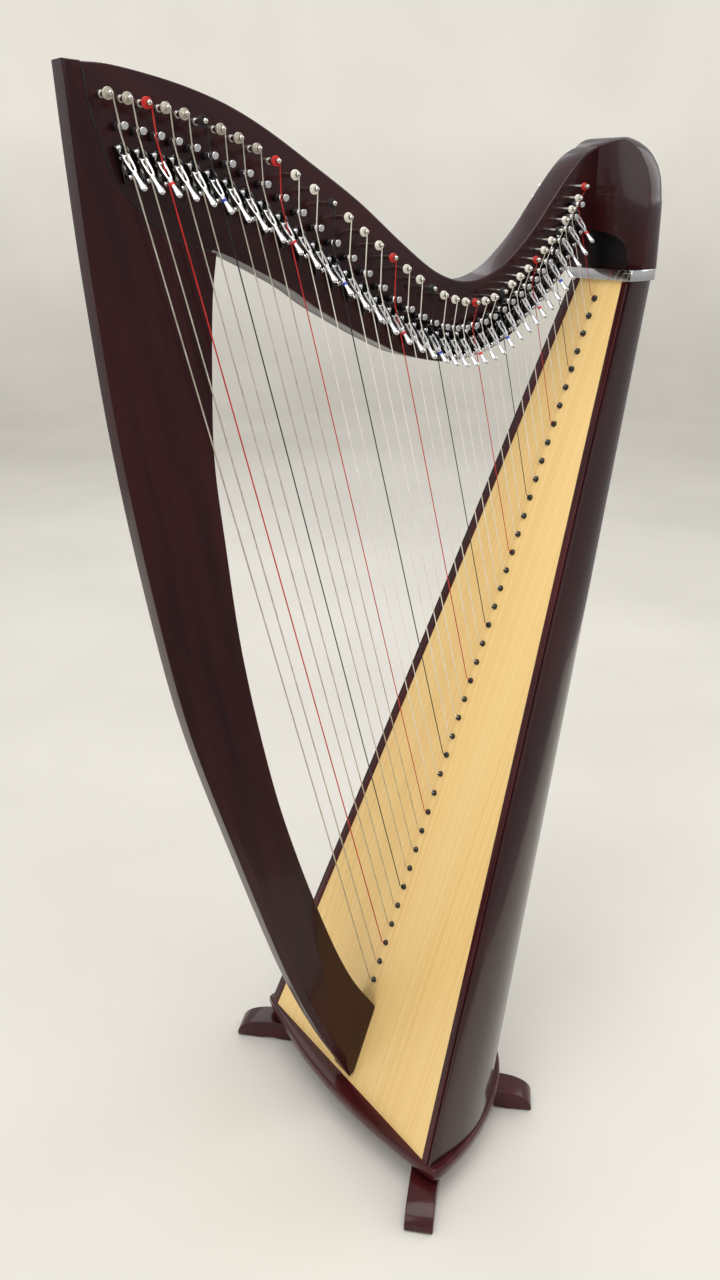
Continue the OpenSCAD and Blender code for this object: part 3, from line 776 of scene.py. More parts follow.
def apply_all(o):
    dg = bpy.context.evaluated_depsgraph_get()
    new = bpy.data.meshes.new_from_object(o.evaluated_get(dg))
    o.modifiers.clear()
    old, name = o.data, o.data.name
    o.data = new
    bpy.data.meshes.remove(old)
    new.name = name


def build_shoulder():
    front = [[411, 16], [443.8, -66], [520, -66], [520, 60], [411, 60]]
    recess = [[16, 1180], [16, 1246], [-4, 1242], [-17, 1237], [-26, 1230], [-31, 1222], [-33, 1198], [-33, 1180]]
    m = Mesh()
    m.add(*loft([np.column_stack([dome_plan(d), np.full(75, z)]) for z, d in smooth(DOME_K, 3)]))
    o = m.make("shoulder_body", [M_SHOULDER, M_PAINTED_SHADE], nodes=["shoulder"], slot="lacquered_wood", sharp=38)
    slope = [list(p) for p in smooth(SHOULDER_K, 4)]
    carve(o, prism(slope + [[520, 1357], [520, 1170], [404, 1170]], 1, -90, 90), "INTERSECT")
    carve(o, prism(front, 2, 1150, 1450), "INTERSECT")
    carve(o, prism(recess, 0, 395, 436), "DIFFERENCE")
    md = o.modifiers.new("edge", "BEVEL")
    md.width, md.segments, md.limit_method, md.angle_limit = 0.0013, 3, "ANGLE", math.radians(34)
    md.use_clamp_overlap = True
    apply_all(o)
    me = o.data
    me.materials.clear()
    me.materials.append(M_SHOULDER)
    me.materials.append(M_PAINTED_SHADE)
    for p in me.polygons:
        c, nv = p.center * 1000, p.normal
        x, y, z = c.x - SX, c.y, c.z
        # faces in the recess under the shoulder get the dark material: painted shade of the recess
        inside = x < 436.4 and -33.3 < y < 16.3 and z < 1246.4
        p.material_index = 1 if inside and abs(nv.x * -0.928 + nv.y * -0.371) < 0.985 else 0
        p.use_smooth = True
    me.set_sharp_from_angle(angle=math.radians(30))
    # lower part, inside the chrome band
    m = Mesh()
    P = ccw(head_plan(420, 52.5, 70, 80))
    m.add(*loft([np.column_stack([P, np.full(len(P), z)]) for z in (1190.0, 1198.3)]))
    o = m.make("shoulder_lower", [M_SHOULDER], slot="lacquered_wood", sharp=38)
    carve(o, prism([[422, 60], [422, -11.5], [443.8, -66], [520, -66], [520, 60]], 2, 1150, 1450), "INTERSECT")
    carve(o, prism(recess, 0, 395, 436), "DIFFERENCE")


build_shoulder()


def build_band():
    A, B = head_plan(415.2, 57.3, 78, 80), head_plan(417.4, 55.0, 74, 80)

    def round_front(P, r):
        a = fillet(P, 0, r, 6)
        b = fillet(P, len(P) - 1, r, 6)
        return np.concatenate([a, P[1:-1], b])
    A, B = round_front(A, 3.0), round_front(B, 1.4)
    n = len(A)
    rings = []
    A, B = ccw(A), ccw(B)
    for z, da, db in ((1184.0, 0.55, -0.55), (1184.2, 0.16, -0.16), (1184.7, 0, 0), (1197.3, 0, 0), (1197.8, 0.16, -0.16), (1198.0, 0.55, -0.55)):
        rings.append(np.column_stack([inset(A, da), np.full(n, z)]))
    outer = rings
    inner = []
    for z, db in ((1198.0, -0.3), (1197.6, 0.0), (1184.4, 0.0), (1184.0, -0.3)):
        inner.append(np.column_stack([inset(B, db), np.full(n, z)]))
    v, f = loft(outer + inner, loop=True)
    m = Mesh()
    m.add(v, f)
    m.make("shoulder_band_strip", [M_BAND], nodes=["shoulder_band"], slot="chrome", sharp=30)


build_band()


# ------------------------------------------------------------------ soundbox
def box_ring(z, g, m=64, D0=None):
    """Outer (g = 0) or inner wall ring of the shell on the level z, from the near edge round the back to the far edge."""
    out = []
    for k in range(m + 1):
        t = math.pi * k / m
        f, h = abs(math.sin(t)) ** 0.8, -math.copysign(abs(math.cos(t)) ** 0.8, math.cos(t))
        b0, b1 = 196 - g, (66 - 196) / BL
        a0, a1 = 192 + BIND + 1 + SHELL - g, (37 - 192) / BL
        s = (z - BZ + f * b0 * sind(TILT)) / (cosd(TILT) - f * b1 * sind(TILT))
        out.append(board_w([(b0 + b1 * s) * f, (a0 + a1 * s) * h, s])[0])
    return np.array(out)


def edge_pts(z, pts):
    """Points (depth, offset out from the spruce's edge) of a section that runs up the box, near side, on the level z."""
    out = []
    for x, g in pts:
        s = (z - BZ + x * sind(TILT)) / cosd(TILT)
        out.append(board_w([x, -(half_w(s) + g), s])[0])
    return np.array(out)


def mirror(P):
    return P * [1, -1, 1]


def build_shell():
    z_lv = [BZ, BZ + 0.6] + list(np.linspace(BZ + 30, TOPZ - 30, 14)) + [TOPZ - 0.6, TOPZ]
    rings = []
    W = BIND + 1 + SHELL
    for z in z_lv:
        g = 0.5 if z in (BZ, TOPZ) else 0.0
        o = box_ring(z, g)[1:-1]
        i = box_ring(z, SHELL - g)[1:-1]
        # rounded front lips
        near = edge_pts(z, [(1.6, W - g), (0.5, W - 0.35 - g), (0.0, W - 1.5), (0.0, W - 3.6), (0.4, W - 4.65 + g), (1.6, W - SHELL + g)])
        # keep only wall points behind the lip
        def behind(P):
            d = (P[:, 0]) * cosd(TILT) - (P[:, 2] - BZ) * sind(TILT)
            return P[d > 2.2]
        o, i = behind(o), behind(i)
        ring = np.concatenate([near[::-1][:0], o, mirror(near), i[::-1], near[::-1]])
        rings.append(ring)
    m0 = min(len(r) for r in rings)
    assert all(len(r) == m0 for r in rings)
    m = Mesh()
    m.add(*loft(rings))
    o = m.make("soundbox_shell_wall", [M_SHELL, M_INNER], nodes=["soundbox_shell"], slot="lacquered_wood", sharp=30)
    # access holes, cut through the back
    cut = Mesh()
    for s, w in HOLES:
        ring = []
        h = HOLE_LEN / 2 - w
        for k in range(48):
            a = 2 * math.pi * k / 48
            ring.append([w * math.cos(a), math.copysign(h, math.sin(a)) + w * math.sin(a)])
        R = np.array(ring)
        cut.add(*loft([board_w(np.column_stack([np.full(48, x), R[:, 0], s + R[:, 1]])) for x in (30.0, 330.0)]))
    cv = (np.concatenate(cut.v) + [SX, 0, 0]) / 1000.0
    cm = bpy.data.meshes.new("hole_cutter")
    cm.from_pydata(cv.tolist(), [], cut.f)
    co = bpy.data.objects.new("hole_cutter", cm)
    bpy.context.scene.collection.objects.link(co)
    md = o.modifiers.new("holes", "BOOLEAN")
    md.operation, md.solver, md.object = "DIFFERENCE", "EXACT", co
    dg = bpy.context.evaluated_depsgraph_get()
    new = bpy.data.meshes.new_from_object(o.evaluated_get(dg))
    o.modifiers.clear()
    old = o.data
    o.data = new
    o.data.name = "soundbox_shell_wall"
    bpy.data.meshes.remove(old)
    bpy.data.objects.remove(co)
    # the inside of the wall is bare wood
    me = o.data
    me.materials.clear()
    me.materials.append(M_SHELL)
    me.materials.append(M_INNER)
    for p in me.polygons:
        c = p.center * 1000
        x, y, z = c.x - SX, c.y, c.z
        nx = p.normal
        # depth in the board frame and the section there
        dx = x * cosd(TILT) - (z - BZ) * sind(TILT)
        s = x * sind(TILT) + (z - BZ) * cosd(TILT)
        a, b = half_w(s) + BIND + 1 + SHELL - 1.5, box_d(s) - 1.5
        rr = (abs(y) / a) ** 2.5 + (max(dx, 0) / b) ** 2.5
        p.material_index = 1 if (rr < 0.985 and dx > 1.7) else 0
    me.shade_smooth()
    me.set_sharp_from_angle(angle=math.radians(30))
    # turned lips round the holes
    lip = Mesh()
    for s, w in HOLES:
        h = HOLE_LEN / 2 - w
        path = []
        K = 96
        for k in range(K):
            a = 2 * math.pi * k / K
            path.append([w * math.cos(a), math.copysign(h, math.sin(a)) + w * math.sin(a)])
        path = np.array(path)
        rings = []
        sec = [(0.4, -0.9), (0.8, 0.2), (0.2, 0.9), (-0.9, 0.7), (-1.7, -0.4), (-1.7, -3.5), (-1.7, -5.6), (-0.6, -5.9), (0.4, -5.4)]
        for k in range(K):
            p = path[k]
            d = path[(k + 1) % K] - path[k - 1]
            nn = np.array([d[1], -d[0]]) / np.linalg.norm(d)     # outwards from the hole
            if nn @ (p - [0, 0]) < 0 and abs(p[1]) < h:
                nn = -nn
            ring = []
            for u, q in sec:
                y, ss = p[0] + nn[0] * u, s + p[1] + nn[1] * u
                a, b = half_w(ss) + BIND + 1 + SHELL, box_d(ss)
                surf = b * (1 - min(0.999, (abs(y) / a) ** 2.5)) ** 0.4
                ring.append([surf + q, y, ss])
            rings.append(board_w(ring))
        lip.add(*loft(rings, loop=True))
    lip.make("access_hole_lips", [M_SHELL], slot="lacquered_wood", sharp=40)


build_shell()


def build_bindings():
    m = Mesh()
    r = 1.3
    pts = [(5.0, 0.3), (-1.5 + r, 0.3)]
    pts += [(-1.5 + r - r * math.sin(math.pi / 2 * k / 4), 0.3 + r - r * math.cos(math.pi / 2 * k / 4)) for k in range(1, 5)]
    pts += [(-1.5 + r - r * math.cos(math.pi / 2 * k / 4), BIND - r + r * math.sin(math.pi / 2 * k / 4)) for k in range(0, 5)]
    pts += [(5.0, BIND)]
    for side in (1, -1):
        rings = []
        for z in (BZ + 0.05, BZ + 1.0, 300.0, 600.0, 900.0, TOPZ - 7.0):
            P = edge_pts(z, pts)
            rings.append(P if side == 1 else mirror(P)[::-1])
        m.add(*loft(rings))
    m.make("edge_binding_strips", [M_BIND], nodes=["edge_bindings"], slot="lacquered_wood", sharp=30)


build_bindings()


# ------------------------------------------------------------------ plinth and feet
def build_plinth():
    half = smooth(PLINTH_K, 6)
    P = np.concatenate([half, (half[::-1] * [1, -1])[1:-1]])
    P = ccw(clean(P))
    n = len(P)
    m = Mesh()
    rings = []
    prof = [(34.0, 13.0), (34.5, 12.0), (36.5, 8.6), (39.0, 5.6), (42.5, 2.8), (46.5, 0.8), (50.5, 0.05), (54.5, 0.0), (58.0, 0.2),
            (60.2, 0.9), (61.3, 1.9), (61.85, 3.0), (62.0, 4.3)]
    for z, d in prof:
        rings.append(np.column_stack([inset(P, d), np.full(n, z)]))
    m.add(*loft(rings))
    m.make("plinth_body", [M_BASE], nodes=["base_plinth"], slot="lacquered_wood", sharp=30)


build_plinth()


def build_feet():
    m = Mesh()
    for fx, fy, head in FOOT_AT:
        pts = [[-22, SOLE + 0.4], [-22, FOOT_H - 4], [-21.2, FOOT_H - 1.6], [-19, FOOT_H]]
        for k in range(25):
            a = math.pi / 2 * k / 24
            pts.append([22 + 56 * math.sin(a), SOLE + 3 + (FOOT_H - SOLE - 3) * max(math.cos(a), 0) ** 0.95])
        pts += [[78, SOLE + 1.2], [77, SOLE]]
        # hollow of the arch: circle of radius 60 whose centre is 58 below the sole
        for k in range(15):
            x = 22 + 15.4 * (1 - 2 * k / 14)
            pts.append([x, SOLE - 58 + math.sqrt(max(60 ** 2 - (x - 22) ** 2, 0))])
        pts += [[-21, SOLE]]
        P = ccw(clean(np.array(pts), 0.05))
        n = len(P)
        rings = []
        r = 1.6
        lv = [(-FOOT_W / 2 + d, i) for d, i in arc_levels(r, 5)] + [(FOOT_W / 2 - d, i) for d, i in reversed(arc_levels(r, 5))]
        for y, d in lv:
            dd = np.full(n, d)
            for k in range(n):
                mz = (P[k][1] + P[(k + 1) % n][1]) / 2
                mx = (P[k][0] + P[(k + 1) % n][0]) / 2
                if mz < SOLE + 2.4 and mx < 77.5:
                    dd[k] = d * 0.25
                if mz > FOOT_H - 0.1:
                    dd[k] = d * 0.4
            Q = inset(P, dd)
            c, s = cosd(head), sind(head)
            rings.append(np.column_stack([fx + Q[:, 0] * c - y * s, fy + Q[:, 0] * s + y * c, Q[:, 1]]))
        m.add(*loft(rings), mat=0)
        for x0 in (-17, 60):
            o = ccw(np.array([[x0, -FOOT_W / 2 + 4], [x0 + 14, -FOOT_W / 2 + 4], [x0 + 14, FOOT_W / 2 - 4], [x0, FOOT_W / 2 - 4]]))
            c, s = cosd(head), sind(head)
            rr = []
            for z, d in ((0.0, 0.8), (0.6, 0.1), (1.0, 0.0), (SOLE + 0.4, 0.0)):
                Q = inset(o, d)
                rr.append(np.column_stack([fx + Q[:, 0] * c - Q[:, 1] * s, fy + Q[:, 0] * s + Q[:, 1] * c, np.full(4, z)]))
            m.add(*loft(rr), mat=1)
    m.make("shoe_feet", [M_FEET, M_RUBBER], nodes=["feet"], slot="foot_wood", sharp=30)


build_feet()


# ------------------------------------------------------------------ eyelets
def build_eyelets():
    m = Mesh()
    prof = [(1.4, -2.6), (1.6, -3.2), (2.0, -3.65), (2.5, -3.8), (3.0, -3.6), (3.5, -3.05), (3.95, -2.2), (4.25, -1.2), (4.4, -0.4), (4.4, 0.0), (2.5, 0.0),
            (2.5, 5.0), (1.4, 5.0)]
    v, f = lathe(prof, 28, closed=True)
    for i in range(NS):
        s = eye_at(i)
        W = board_w(np.column_stack([v[:, 2], v[:, 0], s + v[:, 1]]))
        m.add(W, f)
    m.make("string_eyelets", [M_BLACK], nodes=["eyelets"], slot="black_parts", sharp=40)


build_eyelets()


# ------------------------------------------------------------------ tuning pins, bridge pins
def build_pins():
    m = Mesh()
    for i in range(NS):
        px, pz = pin(i)
        y1 = float(neck_far(px))
        f = at_axis(px, pz)
        # local z of the lathe = +y (into the neck); the near end is at -13.5
        prof = [(0, -13.5), (0.9, -13.42), (1.6, -13.15), (2.15, -12.7), (2.48, -12.05), (2.6, -11.3), (2.6, -9.4), (2.6, -2.6), (2.6, 8.0),
                (2.6, GAP + 3), (2.6, y1 - 2), (2.6, y1 + 5.4), (2.2, y1 + 6.0), (0, y1 + 6.0)]
        v, fc = lathe(prof, 24)
        m.add(f(v), fc)
        # the bass pins stand in long sleeves
        if i < 10:
            v, fc = lathe([(2.62, GAP - 0.01), (3.6, GAP - 0.01), (3.6, 7.5), (3.45, 7.1), (3.1, 6.9), (2.62, 6.9)], 24, closed=True)
            m.add(f(v), fc)
        # square end for the tuning key, on the far side
        rings = []
        for y, h in ((y1 + 5.5, 2.1), (y1 + 6.2, 2.19), (y1 + 16.2, 2.05), (y1 + 16.8, 1.7), (y1 + 17.0, 1.2)):
            sq = []
            for cx, cy in ((1, 1), (-1, 1), (-1, -1), (1, -1)):
                a = [(cx * h, cy * (h - 0.3)), (cx * (h - 0.3), cy * h)]
                sq += a if cx * cy > 0 else a[::-1]
            # turned by 45 degrees, as the flats of the solid are
            sq = np.array(sq)
            c = cosd(45)
            sq = np.column_stack([(sq[:, 0] - sq[:, 1]) * c, (sq[:, 0] + sq[:, 1]) * c])
            rings.append(np.column_stack([sq, np.full(8, y)]))
        v, fc = loft(rings)
        m.add(f(v), fc)
    m.make("tuning_pin_set", [M_PINS], nodes=["tuning_pins"], slot="pin_steel", sharp=34)
    m = Mesh()
    c = Mesh()
    for i in range(NS):
        bx, bz = bridge(i)
        f = at_axis(bx, bz)
        prof = [(0, -6.0), (2.9, -6.0), (3.0, -5.99), (3.3, -5.85), (3.52, -5.55), (BR_R, -5.2), (BR_R, -3.0), (3.45, -2.6), (3.0, -2.0), (2.6, -1.4), (2.4, -0.7),
                (2.4, 0.7), (2.6, 1.4), (3.0, 2.0), (3.45, 2.6), (BR_R, 3.0), (BR_R, 8.6), (3.2, 9.0), (1.5, 9.0), (1.5, GAP + 12), (0, GAP + 12)]
        v, fc = lathe(prof, 32)
        m.add(f(v), fc)
        prof = [(1.6, 9.0), (3.4, 9.0), (3.85, 9.3), (4.0, 9.9), (4.0, 16.2), (3.9, 17.0), (1.6, 17.0)]
        v, fc = lathe(prof, 28, closed=True)
        c.add(f(v), fc)
    m.make("bridge_pin_set", [M_CHROME], nodes=["bridge_pins"], slot="chrome", sharp=34)
    c.make("bridge_collar_set", [M_BLACK], nodes=["bridge_collars"], slot="black_parts", sharp=34)


build_pins()


# ------------------------------------------------------------------ strings
def is_red(i):
    return (i + 1) % 7 == 3


def is_black(i):
    return (i + 1) % 7 == 6


def build_strings():
    sets = {"natural": Mesh(), "red": Mesh(), "black": Mesh()}
    for i in range(NS):
        m = sets["red" if is_red(i) else "black" if is_black(i) else "natural"]
        k = 1 if (i < 10 and not is_red(i) and not is_black(i)) else 0
        r = str_r(i)
        t, b = pin(i), rest_pt(i)
        cr_ = coil_r(i)
        s = eye_at(i)
        # from the coil down over the bridge pin to the board
        p0 = string_w([t[0] + cr_ - r * 1.6, -6.4, t[1] + 1.2])[0]
        p1 = string_w([t[0] + cr_ - r * 1.3, -6.2, t[1] - 1.5])[0]
        p3 = string_w([b[0] - 0.05, -0.5, b[1] + 2.4])[0]
        p4 = string_w([b[0], -0.1, b[1]])[0]
        p5 = string_w([b[0] + 0.1, 0, b[1] - 2.4])[0]
        q0, q1, q2 = board_w([[-9, 0, s + 2.2], [-3.5, 0, s + 0.7], [0.5, 0, s]])
        q3, q4 = board_w([[4, 0, s], [14.0, 0, s]])
        path = [p0, p1, p1 + (p3 - p1) * 0.5, p3, p4, p5]
        for u in (0.2, 0.4, 0.6, 0.8):
            path.append(p5 + (q0 - p5) * u)
        path += [q0, q1, q2, q3, q4]
        v, f = sweep(path, r, 10)
        m.add(v, f, k)
        # knot behind the rib
        v, f = lathe([(0, -2.2), (1.4, -1.8), (2.2, -0.9), (2.5, 0), (2.2, 0.9), (1.4, 1.8), (0, 2.2)], 14)
        W = board_w(np.column_stack([14.6 + v[:, 2], v[:, 0], s + v[:, 1]]))
        m.add(W, f, k)
        # the string's end wound on its pin: a long layer with a shorter one over it
        wr = (cr_ - PIN_R) / 4
        fx = at_axis(t[0], t[1])
        for rad, ya, yb in ((PIN_R + wr, -9.0 + wr, -3.0 - wr), (PIN_R + 3 * wr - 0.06, -8.2 + wr, -3.8 - wr)):
            turns = max(1, round((yb - ya) / (2 * wr)))
            K = int(turns * 18)
            path = [[rad * math.cos(2 * math.pi * j / 18), rad * math.sin(2 * math.pi * j / 18), ya + (yb - ya) * j / K] for j in range(K + 1)]
            v, f = sweep(path, wr, 7, up=[0, 0, 1])
            m.add(fx(v), f, k)
        # tail end
        a0 = [PIN_R + wr, 0, -9.0 + wr]
        path = [a0, [PIN_R + wr * 0.6, -0.9, -9.6], [PIN_R * 0.7, -2.0, -10.6], [PIN_R * 0.2, -3.1, -11.0]]
        v, f = sweep(path, wr * 0.8, 6, up=[0, 0, 1])
        m.add(fx(v), f, k)
    sets["natural"].make("strings_natural_set", [M_S_NAT, M_S_WIRE], nodes=["strings_natural"], slot="string_natural", sharp=50)
    sets["red"].make("strings_red_set", [M_S_RED], nodes=["strings_red"], slot="string_red", sharp=50)
    sets["black"].make("strings_black_set", [M_S_BLK], nodes=["strings_black"], slot="string_black", sharp=50)


build_strings()


# ------------------------------------------------------------------ lever brackets, frets, screws
def build_brackets():
    m, fr, sc = Mesh(), Mesh(), Mesh()
    yb = GAP - PIVOT_Y - 2      # front of the back plate, local y
    for i in range(NS):
        f = at_lever(i)
        # back plate with rounded edges
        o = ccw(np.array([[-5.4, -23], [5.4, -23], [5.4, 11], [-5.4, 11]]))
        rings = []
        for y, d in [(yb + a, b) for a, b in arc_levels(0.7, 3)] + [(yb + 2, 0)]:
            Q = inset(o, d)
            rings.append(np.column_stack([Q[:, 0], np.full(4, y), Q[:, 1]]))
        v, fc = loft(rings)
        m.add(f(v), fc)
        # cheeks
        cheek = ccw(np.array([[yb + 0.5, 11], [5, 10.2], [1, 8], [-1.6, 5.6], [-2.6, 3.4], [-2.6, -2.6], [-1.5, -5.4], [1, -9], [3, -17], [4, -23], [yb + 0.5, -23]]))
        for x0, x1 in ((-5.4, -4.4), (4.4, 5.4)):
            rr = []
            for x, d in ((x0, 0.3), (x0 + 0.3, 0.0), (x1 - 0.3, 0.0), (x1, 0.3)):
                Q = inset(cheek, d)
                rr.append(np.column_stack([np.full(len(Q), x), Q[:, 0], Q[:, 1]]))
            v, fc = loft(rr)
            m.add(f(v), fc)
        # fret: a wedge with a rounded nose
        wedge = np.array([[yb, -14.5], [-3, -16], [-4.4, -17.4], [-4.9, -18.3], [-5.0, -19.0], [-4.9, -19.6], [-4.2, -20.1], [yb, -22.6]])
        w = ccw(wedge)
        rr = []
        for x, d in [(-3.6 + a, b) for a, b in arc_levels(0.6, 3)] + [(3.6 - a, b) for a, b in reversed(arc_levels(0.6, 3))]:
            Q = inset(w, d)
            rr.append(np.column_stack([np.full(len(Q), x), Q[:, 0], Q[:, 1]]))
        v, fc = loft(rr)
        fr.add(f(v), fc)
        # dome-headed screws
        for z, R in ((7, 4.0), (-10, 2.3)):
            prof = [(0, -2.9), (0.8, -2.78), (1.55, -2.45), (2.2, -1.95), (2.7, -1.3), (3.0, -0.6), (3.1, -0.05), (3.1, 0.02), (1.2, 0.02), (1.2, 9.4), (0, 9.4)]
            prof = [(r * (R / 3.1 if h < 0.03 and r != 1.2 else 1), h * (R / 3.1 if h < 0 else 1)) for r, h in prof]
            v, fc = lathe(prof, 24)
            W = np.column_stack([v[:, 0], yb + v[:, 2], z - v[:, 1]])
            sc.add(f(W), fc)
    m.make("lever_bracket_set", [M_BRACKET], nodes=["lever_brackets"], slot="bracket_black", sharp=30)
    fr.make("lever_fret_set", [M_CHROME], nodes=["lever_frets"], slot="chrome", sharp=30)
    sc.make("lever_screw_set", [M_CHROME], nodes=["lever_screws"], slot="chrome", sharp=34)


build_brackets()


# ------------------------------------------------------------------ levers
def build_lever(i):
    g = at_lever(i)
    rx = rot_x(-REST)

    def f(p):
        return g(rx(p))
    m = Mesh()
    # axle with small heads
    prof = [(0, -5.9), (1.2, -5.9), (1.45, -5.65), (1.45, 5.65), (1.2, 5.9), (0, 5.9)]
    v, fc = lathe(prof, 20)
    m.add(f(np.column_stack([v[:, 2], v[:, 0], v[:, 1]])), fc)
    # two cheeks beside the string that run together into the arm
    zc = [3.08, 2.85, 2.3, 1.3, 0.0, -1.5, -3.2, -5.5, -8.5, -11.5, -14.0, -16.0, -17.6]
    hy = [0.5, 1.25, 2.1, 2.85, 3.1, 3.1, 2.95, 2.75, 2.6, 2.45, 2.3, 2.15, 2.0]
    xo = [3.4, 3.85, 4.1, 4.15, 4.15, 4.15, 4.15, 4.1, 3.95, 3.7, 3.35, 3.0, 2.7]
    for sx in (-1, 1):
        rings = []
        for z, b, x1 in zip(zc, hy, xo):
            x0 = 1.12 if z > -14 else 1.12 - (-14 - z) * 0.28
            cx, a = (x0 + x1) / 2, (x1 - x0) / 2
            ring = []
            for k in range(16):
                t = 2 * math.pi * k / 16
                c, q = math.cos(t), math.sin(t)
                ring.append([sx * (cx + a * math.copysign(abs(c) ** 0.55, c)), b * math.copysign(abs(q) ** 0.55, q), z])
            rings.append(np.array(ring))
        v, fc = loft(rings)
        m.add(f(v), fc)
    # arm and drop-shaped end: one smooth body, bowed outwards
    kz = [-15.2, -15.6, -16.4, -18.0, -20.2, -22.0, -24.0, -26.5, -29.0, -31.5, -33.6, -35.3, -36.6, -37.5, -37.95]
    ka = [1.7, 2.3, 2.75, 2.6, 2.35, 2.2, 2.2, 2.5, 3.0, 3.45, 3.6, 3.3, 2.6, 1.6, 0.4]       # half width
    kb = [1.3, 1.8, 2.1, 2.1, 1.95, 1.85, 1.8, 1.85, 2.0, 2.15, 2.25, 2.1, 1.7, 1.1, 0.3]     # half thickness
    bow = [0, 0, 0, 0.05, 0.1, 0.2, 0.25, 0.3, 0.2, 0.0, -0.25, -0.45, -0.6, -0.7, -0.75]
    rings = []
    M = 20
    for z, a, b, w in zip(kz, ka, kb, bow):
        ring = []
        e = 0.72 if z > -17 else 1.0
        for k in range(M):
            t = 2 * math.pi * k / M
            c, s = math.cos(t), math.sin(t)
            ring.append([a * math.copysign(abs(c) ** e, c), w + b * math.copysign(abs(s) ** e, s), z])
        rings.append(np.array(ring))
    v, fc = loft(rings)
    m.add(f(v), fc)
    mats = [M_CHROME]
    if is_red(i) or is_black(i):
        prof = [(2.28, -20.6), (2.5, -20.8), (2.5, -23.6), (2.28, -23.8), (1.7, -23.8), (1.7, -20.6)]
        v, fc = lathe(prof, 22, closed=True)
        v = v * [1, 0.86, 1]
        m.add(f(v + [0, 0.12, 0]), fc, mat=1)
        mats.append(M_RED if is_red(i) else M_BLUE)
    m.make("pitch_lever_part_%02d" % (i + 1), mats, nodes=["lever_%02d" % (i + 1)],
           body="pitch_lever_%02d" % (i + 1), slot="chrome", sharp=36)


for _i in range(NS):
    build_lever(_i)


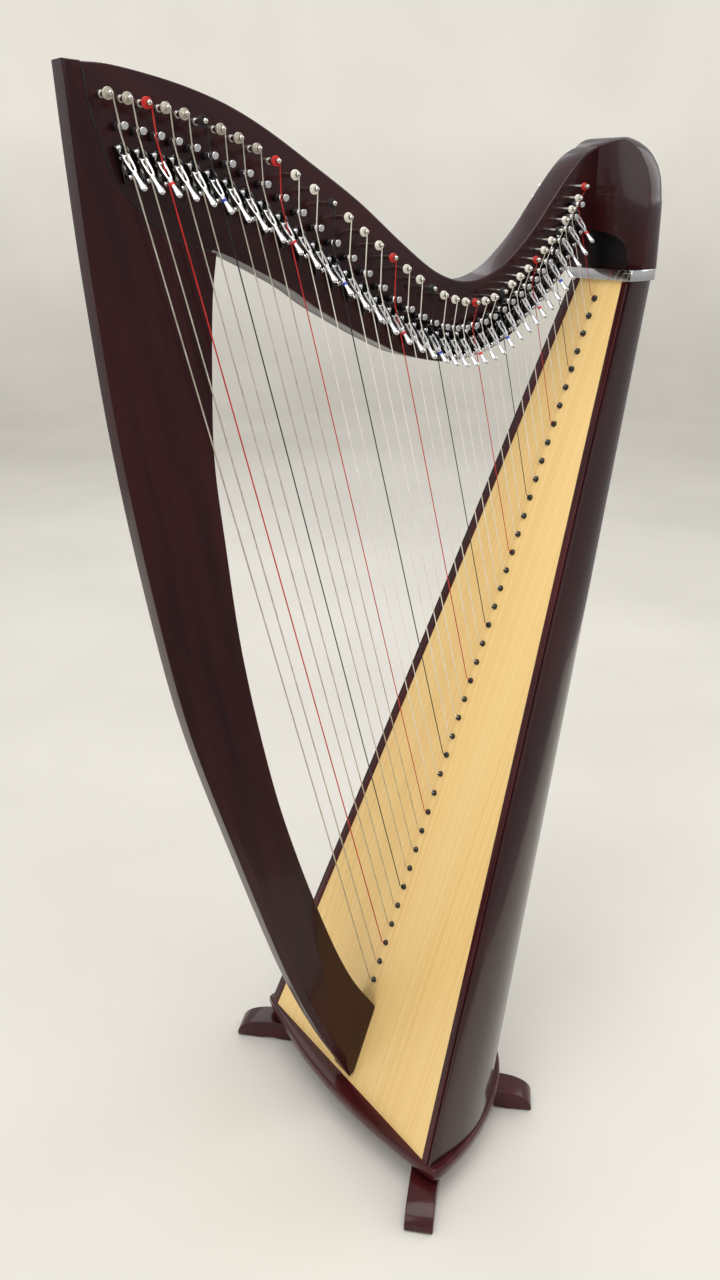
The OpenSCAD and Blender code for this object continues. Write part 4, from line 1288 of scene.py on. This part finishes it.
# ------------------------------------------------------------------ floor, light, camera
def studio():
    # round pale floor that sweeps up into a wall far behind every view
    prof = [(0.0, 0.0), (1.0, 0.0), (3.0, 0.0), (6.0, 0.0)]
    R = 1.6
    for k in range(1, 13):
        a = math.pi / 2 * k / 12
        prof.append((6.0 + R * math.sin(a), R * (1 - math.cos(a))))
    prof.append((7.6, 5.5))
    v, f = lathe(prof, 96)
    f = [q for q in f if len(q) < 10]
    me = bpy.data.meshes.new("floor")
    me.from_pydata([tuple(p) for p in v], [], f)
    # the part near the harp shows in its reflections, the rest doesn't
    bm = bmesh.new()
    bm.from_mesh(me)
    x0, x1, y0, y1 = -1.5, 2.0, -0.6, 2.5
    for co, no in (((x0, 0, 0), (1, 0, 0)), ((x1, 0, 0), (1, 0, 0)), ((0, y0, 0), (0, 1, 0)), ((0, y1, 0), (0, 1, 0))):
        bmesh.ops.bisect_plane(bm, geom=bm.verts[:] + bm.edges[:] + bm.faces[:], dist=1e-6, plane_co=co, plane_no=no)
    near = bm.copy()

    def middle(q):
        c = q.calc_center_median()
        return x0 < c.x < x1 and y0 < c.y < y1 and c.z < 0.01
    bmesh.ops.delete(bm, geom=[q for q in bm.faces if middle(q)], context="FACES")
    bmesh.ops.delete(near, geom=[q for q in near.faces if not middle(q)], context="FACES")
    bm.to_mesh(me)
    bm.free()
    me.update()
    me.shade_smooth()
    me2 = bpy.data.meshes.new("floor_near")
    near.to_mesh(me2)
    near.free()
    me2.update()
    mt, t, b = mat("floor_pale", base=lin(230, 227, 220), rough=0.85)
    tc = t.nodes.new("ShaderNodeTexCoord")
    n1 = node(t, "ShaderNodeTexNoise", i_Scale=1.3, i_Detail=3.0)
    t.links.new(tc.outputs["Object"], n1.inputs["Vector"])
    t.links.new(ramp(t, n1.outputs["Fac"], [(0.3, lin(222, 219, 211)), (0.7, lin(232, 229, 221))]), b.inputs["Base Color"])
    # painted light: the wall glows, more strongly higher up, in place of the light on a lit backdrop
    sep = t.nodes.new("ShaderNodeSeparateXYZ")
    t.links.new(tc.outputs["Object"], sep.inputs["Vector"])
    backdrop_painted_glow = node(t, "ShaderNodeMapRange", i_From_Min=0.05, i_From_Max=1.8, i_To_Min=0.0, i_To_Max=0.27)
    t.links.new(sep.outputs["Z"], backdrop_painted_glow.inputs["Value"])
    b.inputs["Emission Color"].default_value = (1.0, 0.975, 0.93, 1)
    t.links.new(backdrop_painted_glow.outputs["Result"], b.inputs["Emission Strength"])
    me.materials.append(mt)
    o = bpy.data.objects.new("floor", me)
    bpy.context.scene.collection.objects.link(o)
    o.visible_glossy = False
    me2.materials.append(mt)
    o = bpy.data.objects.new("floor_near", me2)
    bpy.context.scene.collection.objects.link(o)

    def area(name, loc, to, size, power, color=(1, 1, 1), shape="RECTANGLE", size_y=None):
        L = bpy.data.lights.new(name, "AREA")
        L.shape = shape
        L.size = size
        L.size_y = size_y or size
        L.energy = power
        L.color = color
        ob = bpy.data.objects.new(name, L)
        bpy.context.scene.collection.objects.link(ob)
        ob.location = loc
        d = Vector(to) - Vector(loc)
        ob.rotation_mode = "QUATERNION"
        ob.rotation_quaternion = d.to_track_quat("-Z", "Y")
        return ob
    area("key_top", (-0.6, -0.9, 3.4), (0, 0, 0.6), 2.4, 48, (1.0, 0.985, 0.96))
    area("fill_left", (-3.2, -1.2, 2.2), (0, 0, 0.7), 2.0, 21, (0.96, 0.98, 1.0))
    area("fill_right", (3.0, -0.6, 2.4), (0, 0, 0.7), 2.0, 21, (1.0, 0.99, 0.97))
    area("back", (0.8, 3.2, 2.6), (0, 0, 0.7), 2.2, 18, (1.0, 1.0, 1.0))
    w = bpy.context.scene.world or bpy.data.worlds.new("World")
    bpy.context.scene.world = w
    w.use_nodes = True
    t = w.node_tree
    bg = t.nodes["Background"]
    tc = t.nodes.new("ShaderNodeTexCoord")
    sp = t.nodes.new("ShaderNodeSeparateXYZ")
    t.links.new(tc.outputs["Generated"], sp.inputs["Vector"])
    mr = node(t, "ShaderNodeMapRange", i_From_Min=-1.0, i_From_Max=1.0)
    t.links.new(sp.outputs["Z"], mr.inputs["Value"])
    col = ramp(t, mr.outputs["Result"], [(0.0, (0.46, 0.44, 0.42, 1)), (0.42, (0.48, 0.46, 0.44, 1)), (0.5, (0.6, 0.6, 0.6, 1)), (1.0, (0.88, 0.88, 0.9, 1))])
    t.links.new(col, bg.inputs["Color"])
    bg.inputs["Strength"].default_value = 0.74


studio()

cam = bpy.data.cameras.new("camera")
cam.sensor_width = 36.0
cam.lens = 30.94
cam.clip_start, cam.clip_end = 0.01, 60.0
co = bpy.data.objects.new("camera", cam)
bpy.context.scene.collection.objects.link(co)
yaw, pitch = math.radians(34.86), math.radians(21.89)
fwd = Vector((math.sin(yaw) * math.cos(pitch), math.cos(yaw) * math.cos(pitch), -math.sin(pitch)))
right = Vector((math.cos(yaw), -math.sin(yaw), 0.0))
upv = right.cross(fwd)
co.location = (-0.8104, -1.073, 1.284)
co.rotation_mode = "QUATERNION"
co.rotation_quaternion = Matrix((right, upv, -fwd)).transposed().to_quaternion()
bpy.context.scene.camera = co

vs = bpy.context.scene.view_settings
vs.view_transform = "Standard"
vs.look = "None"
vs.exposure = 0.0
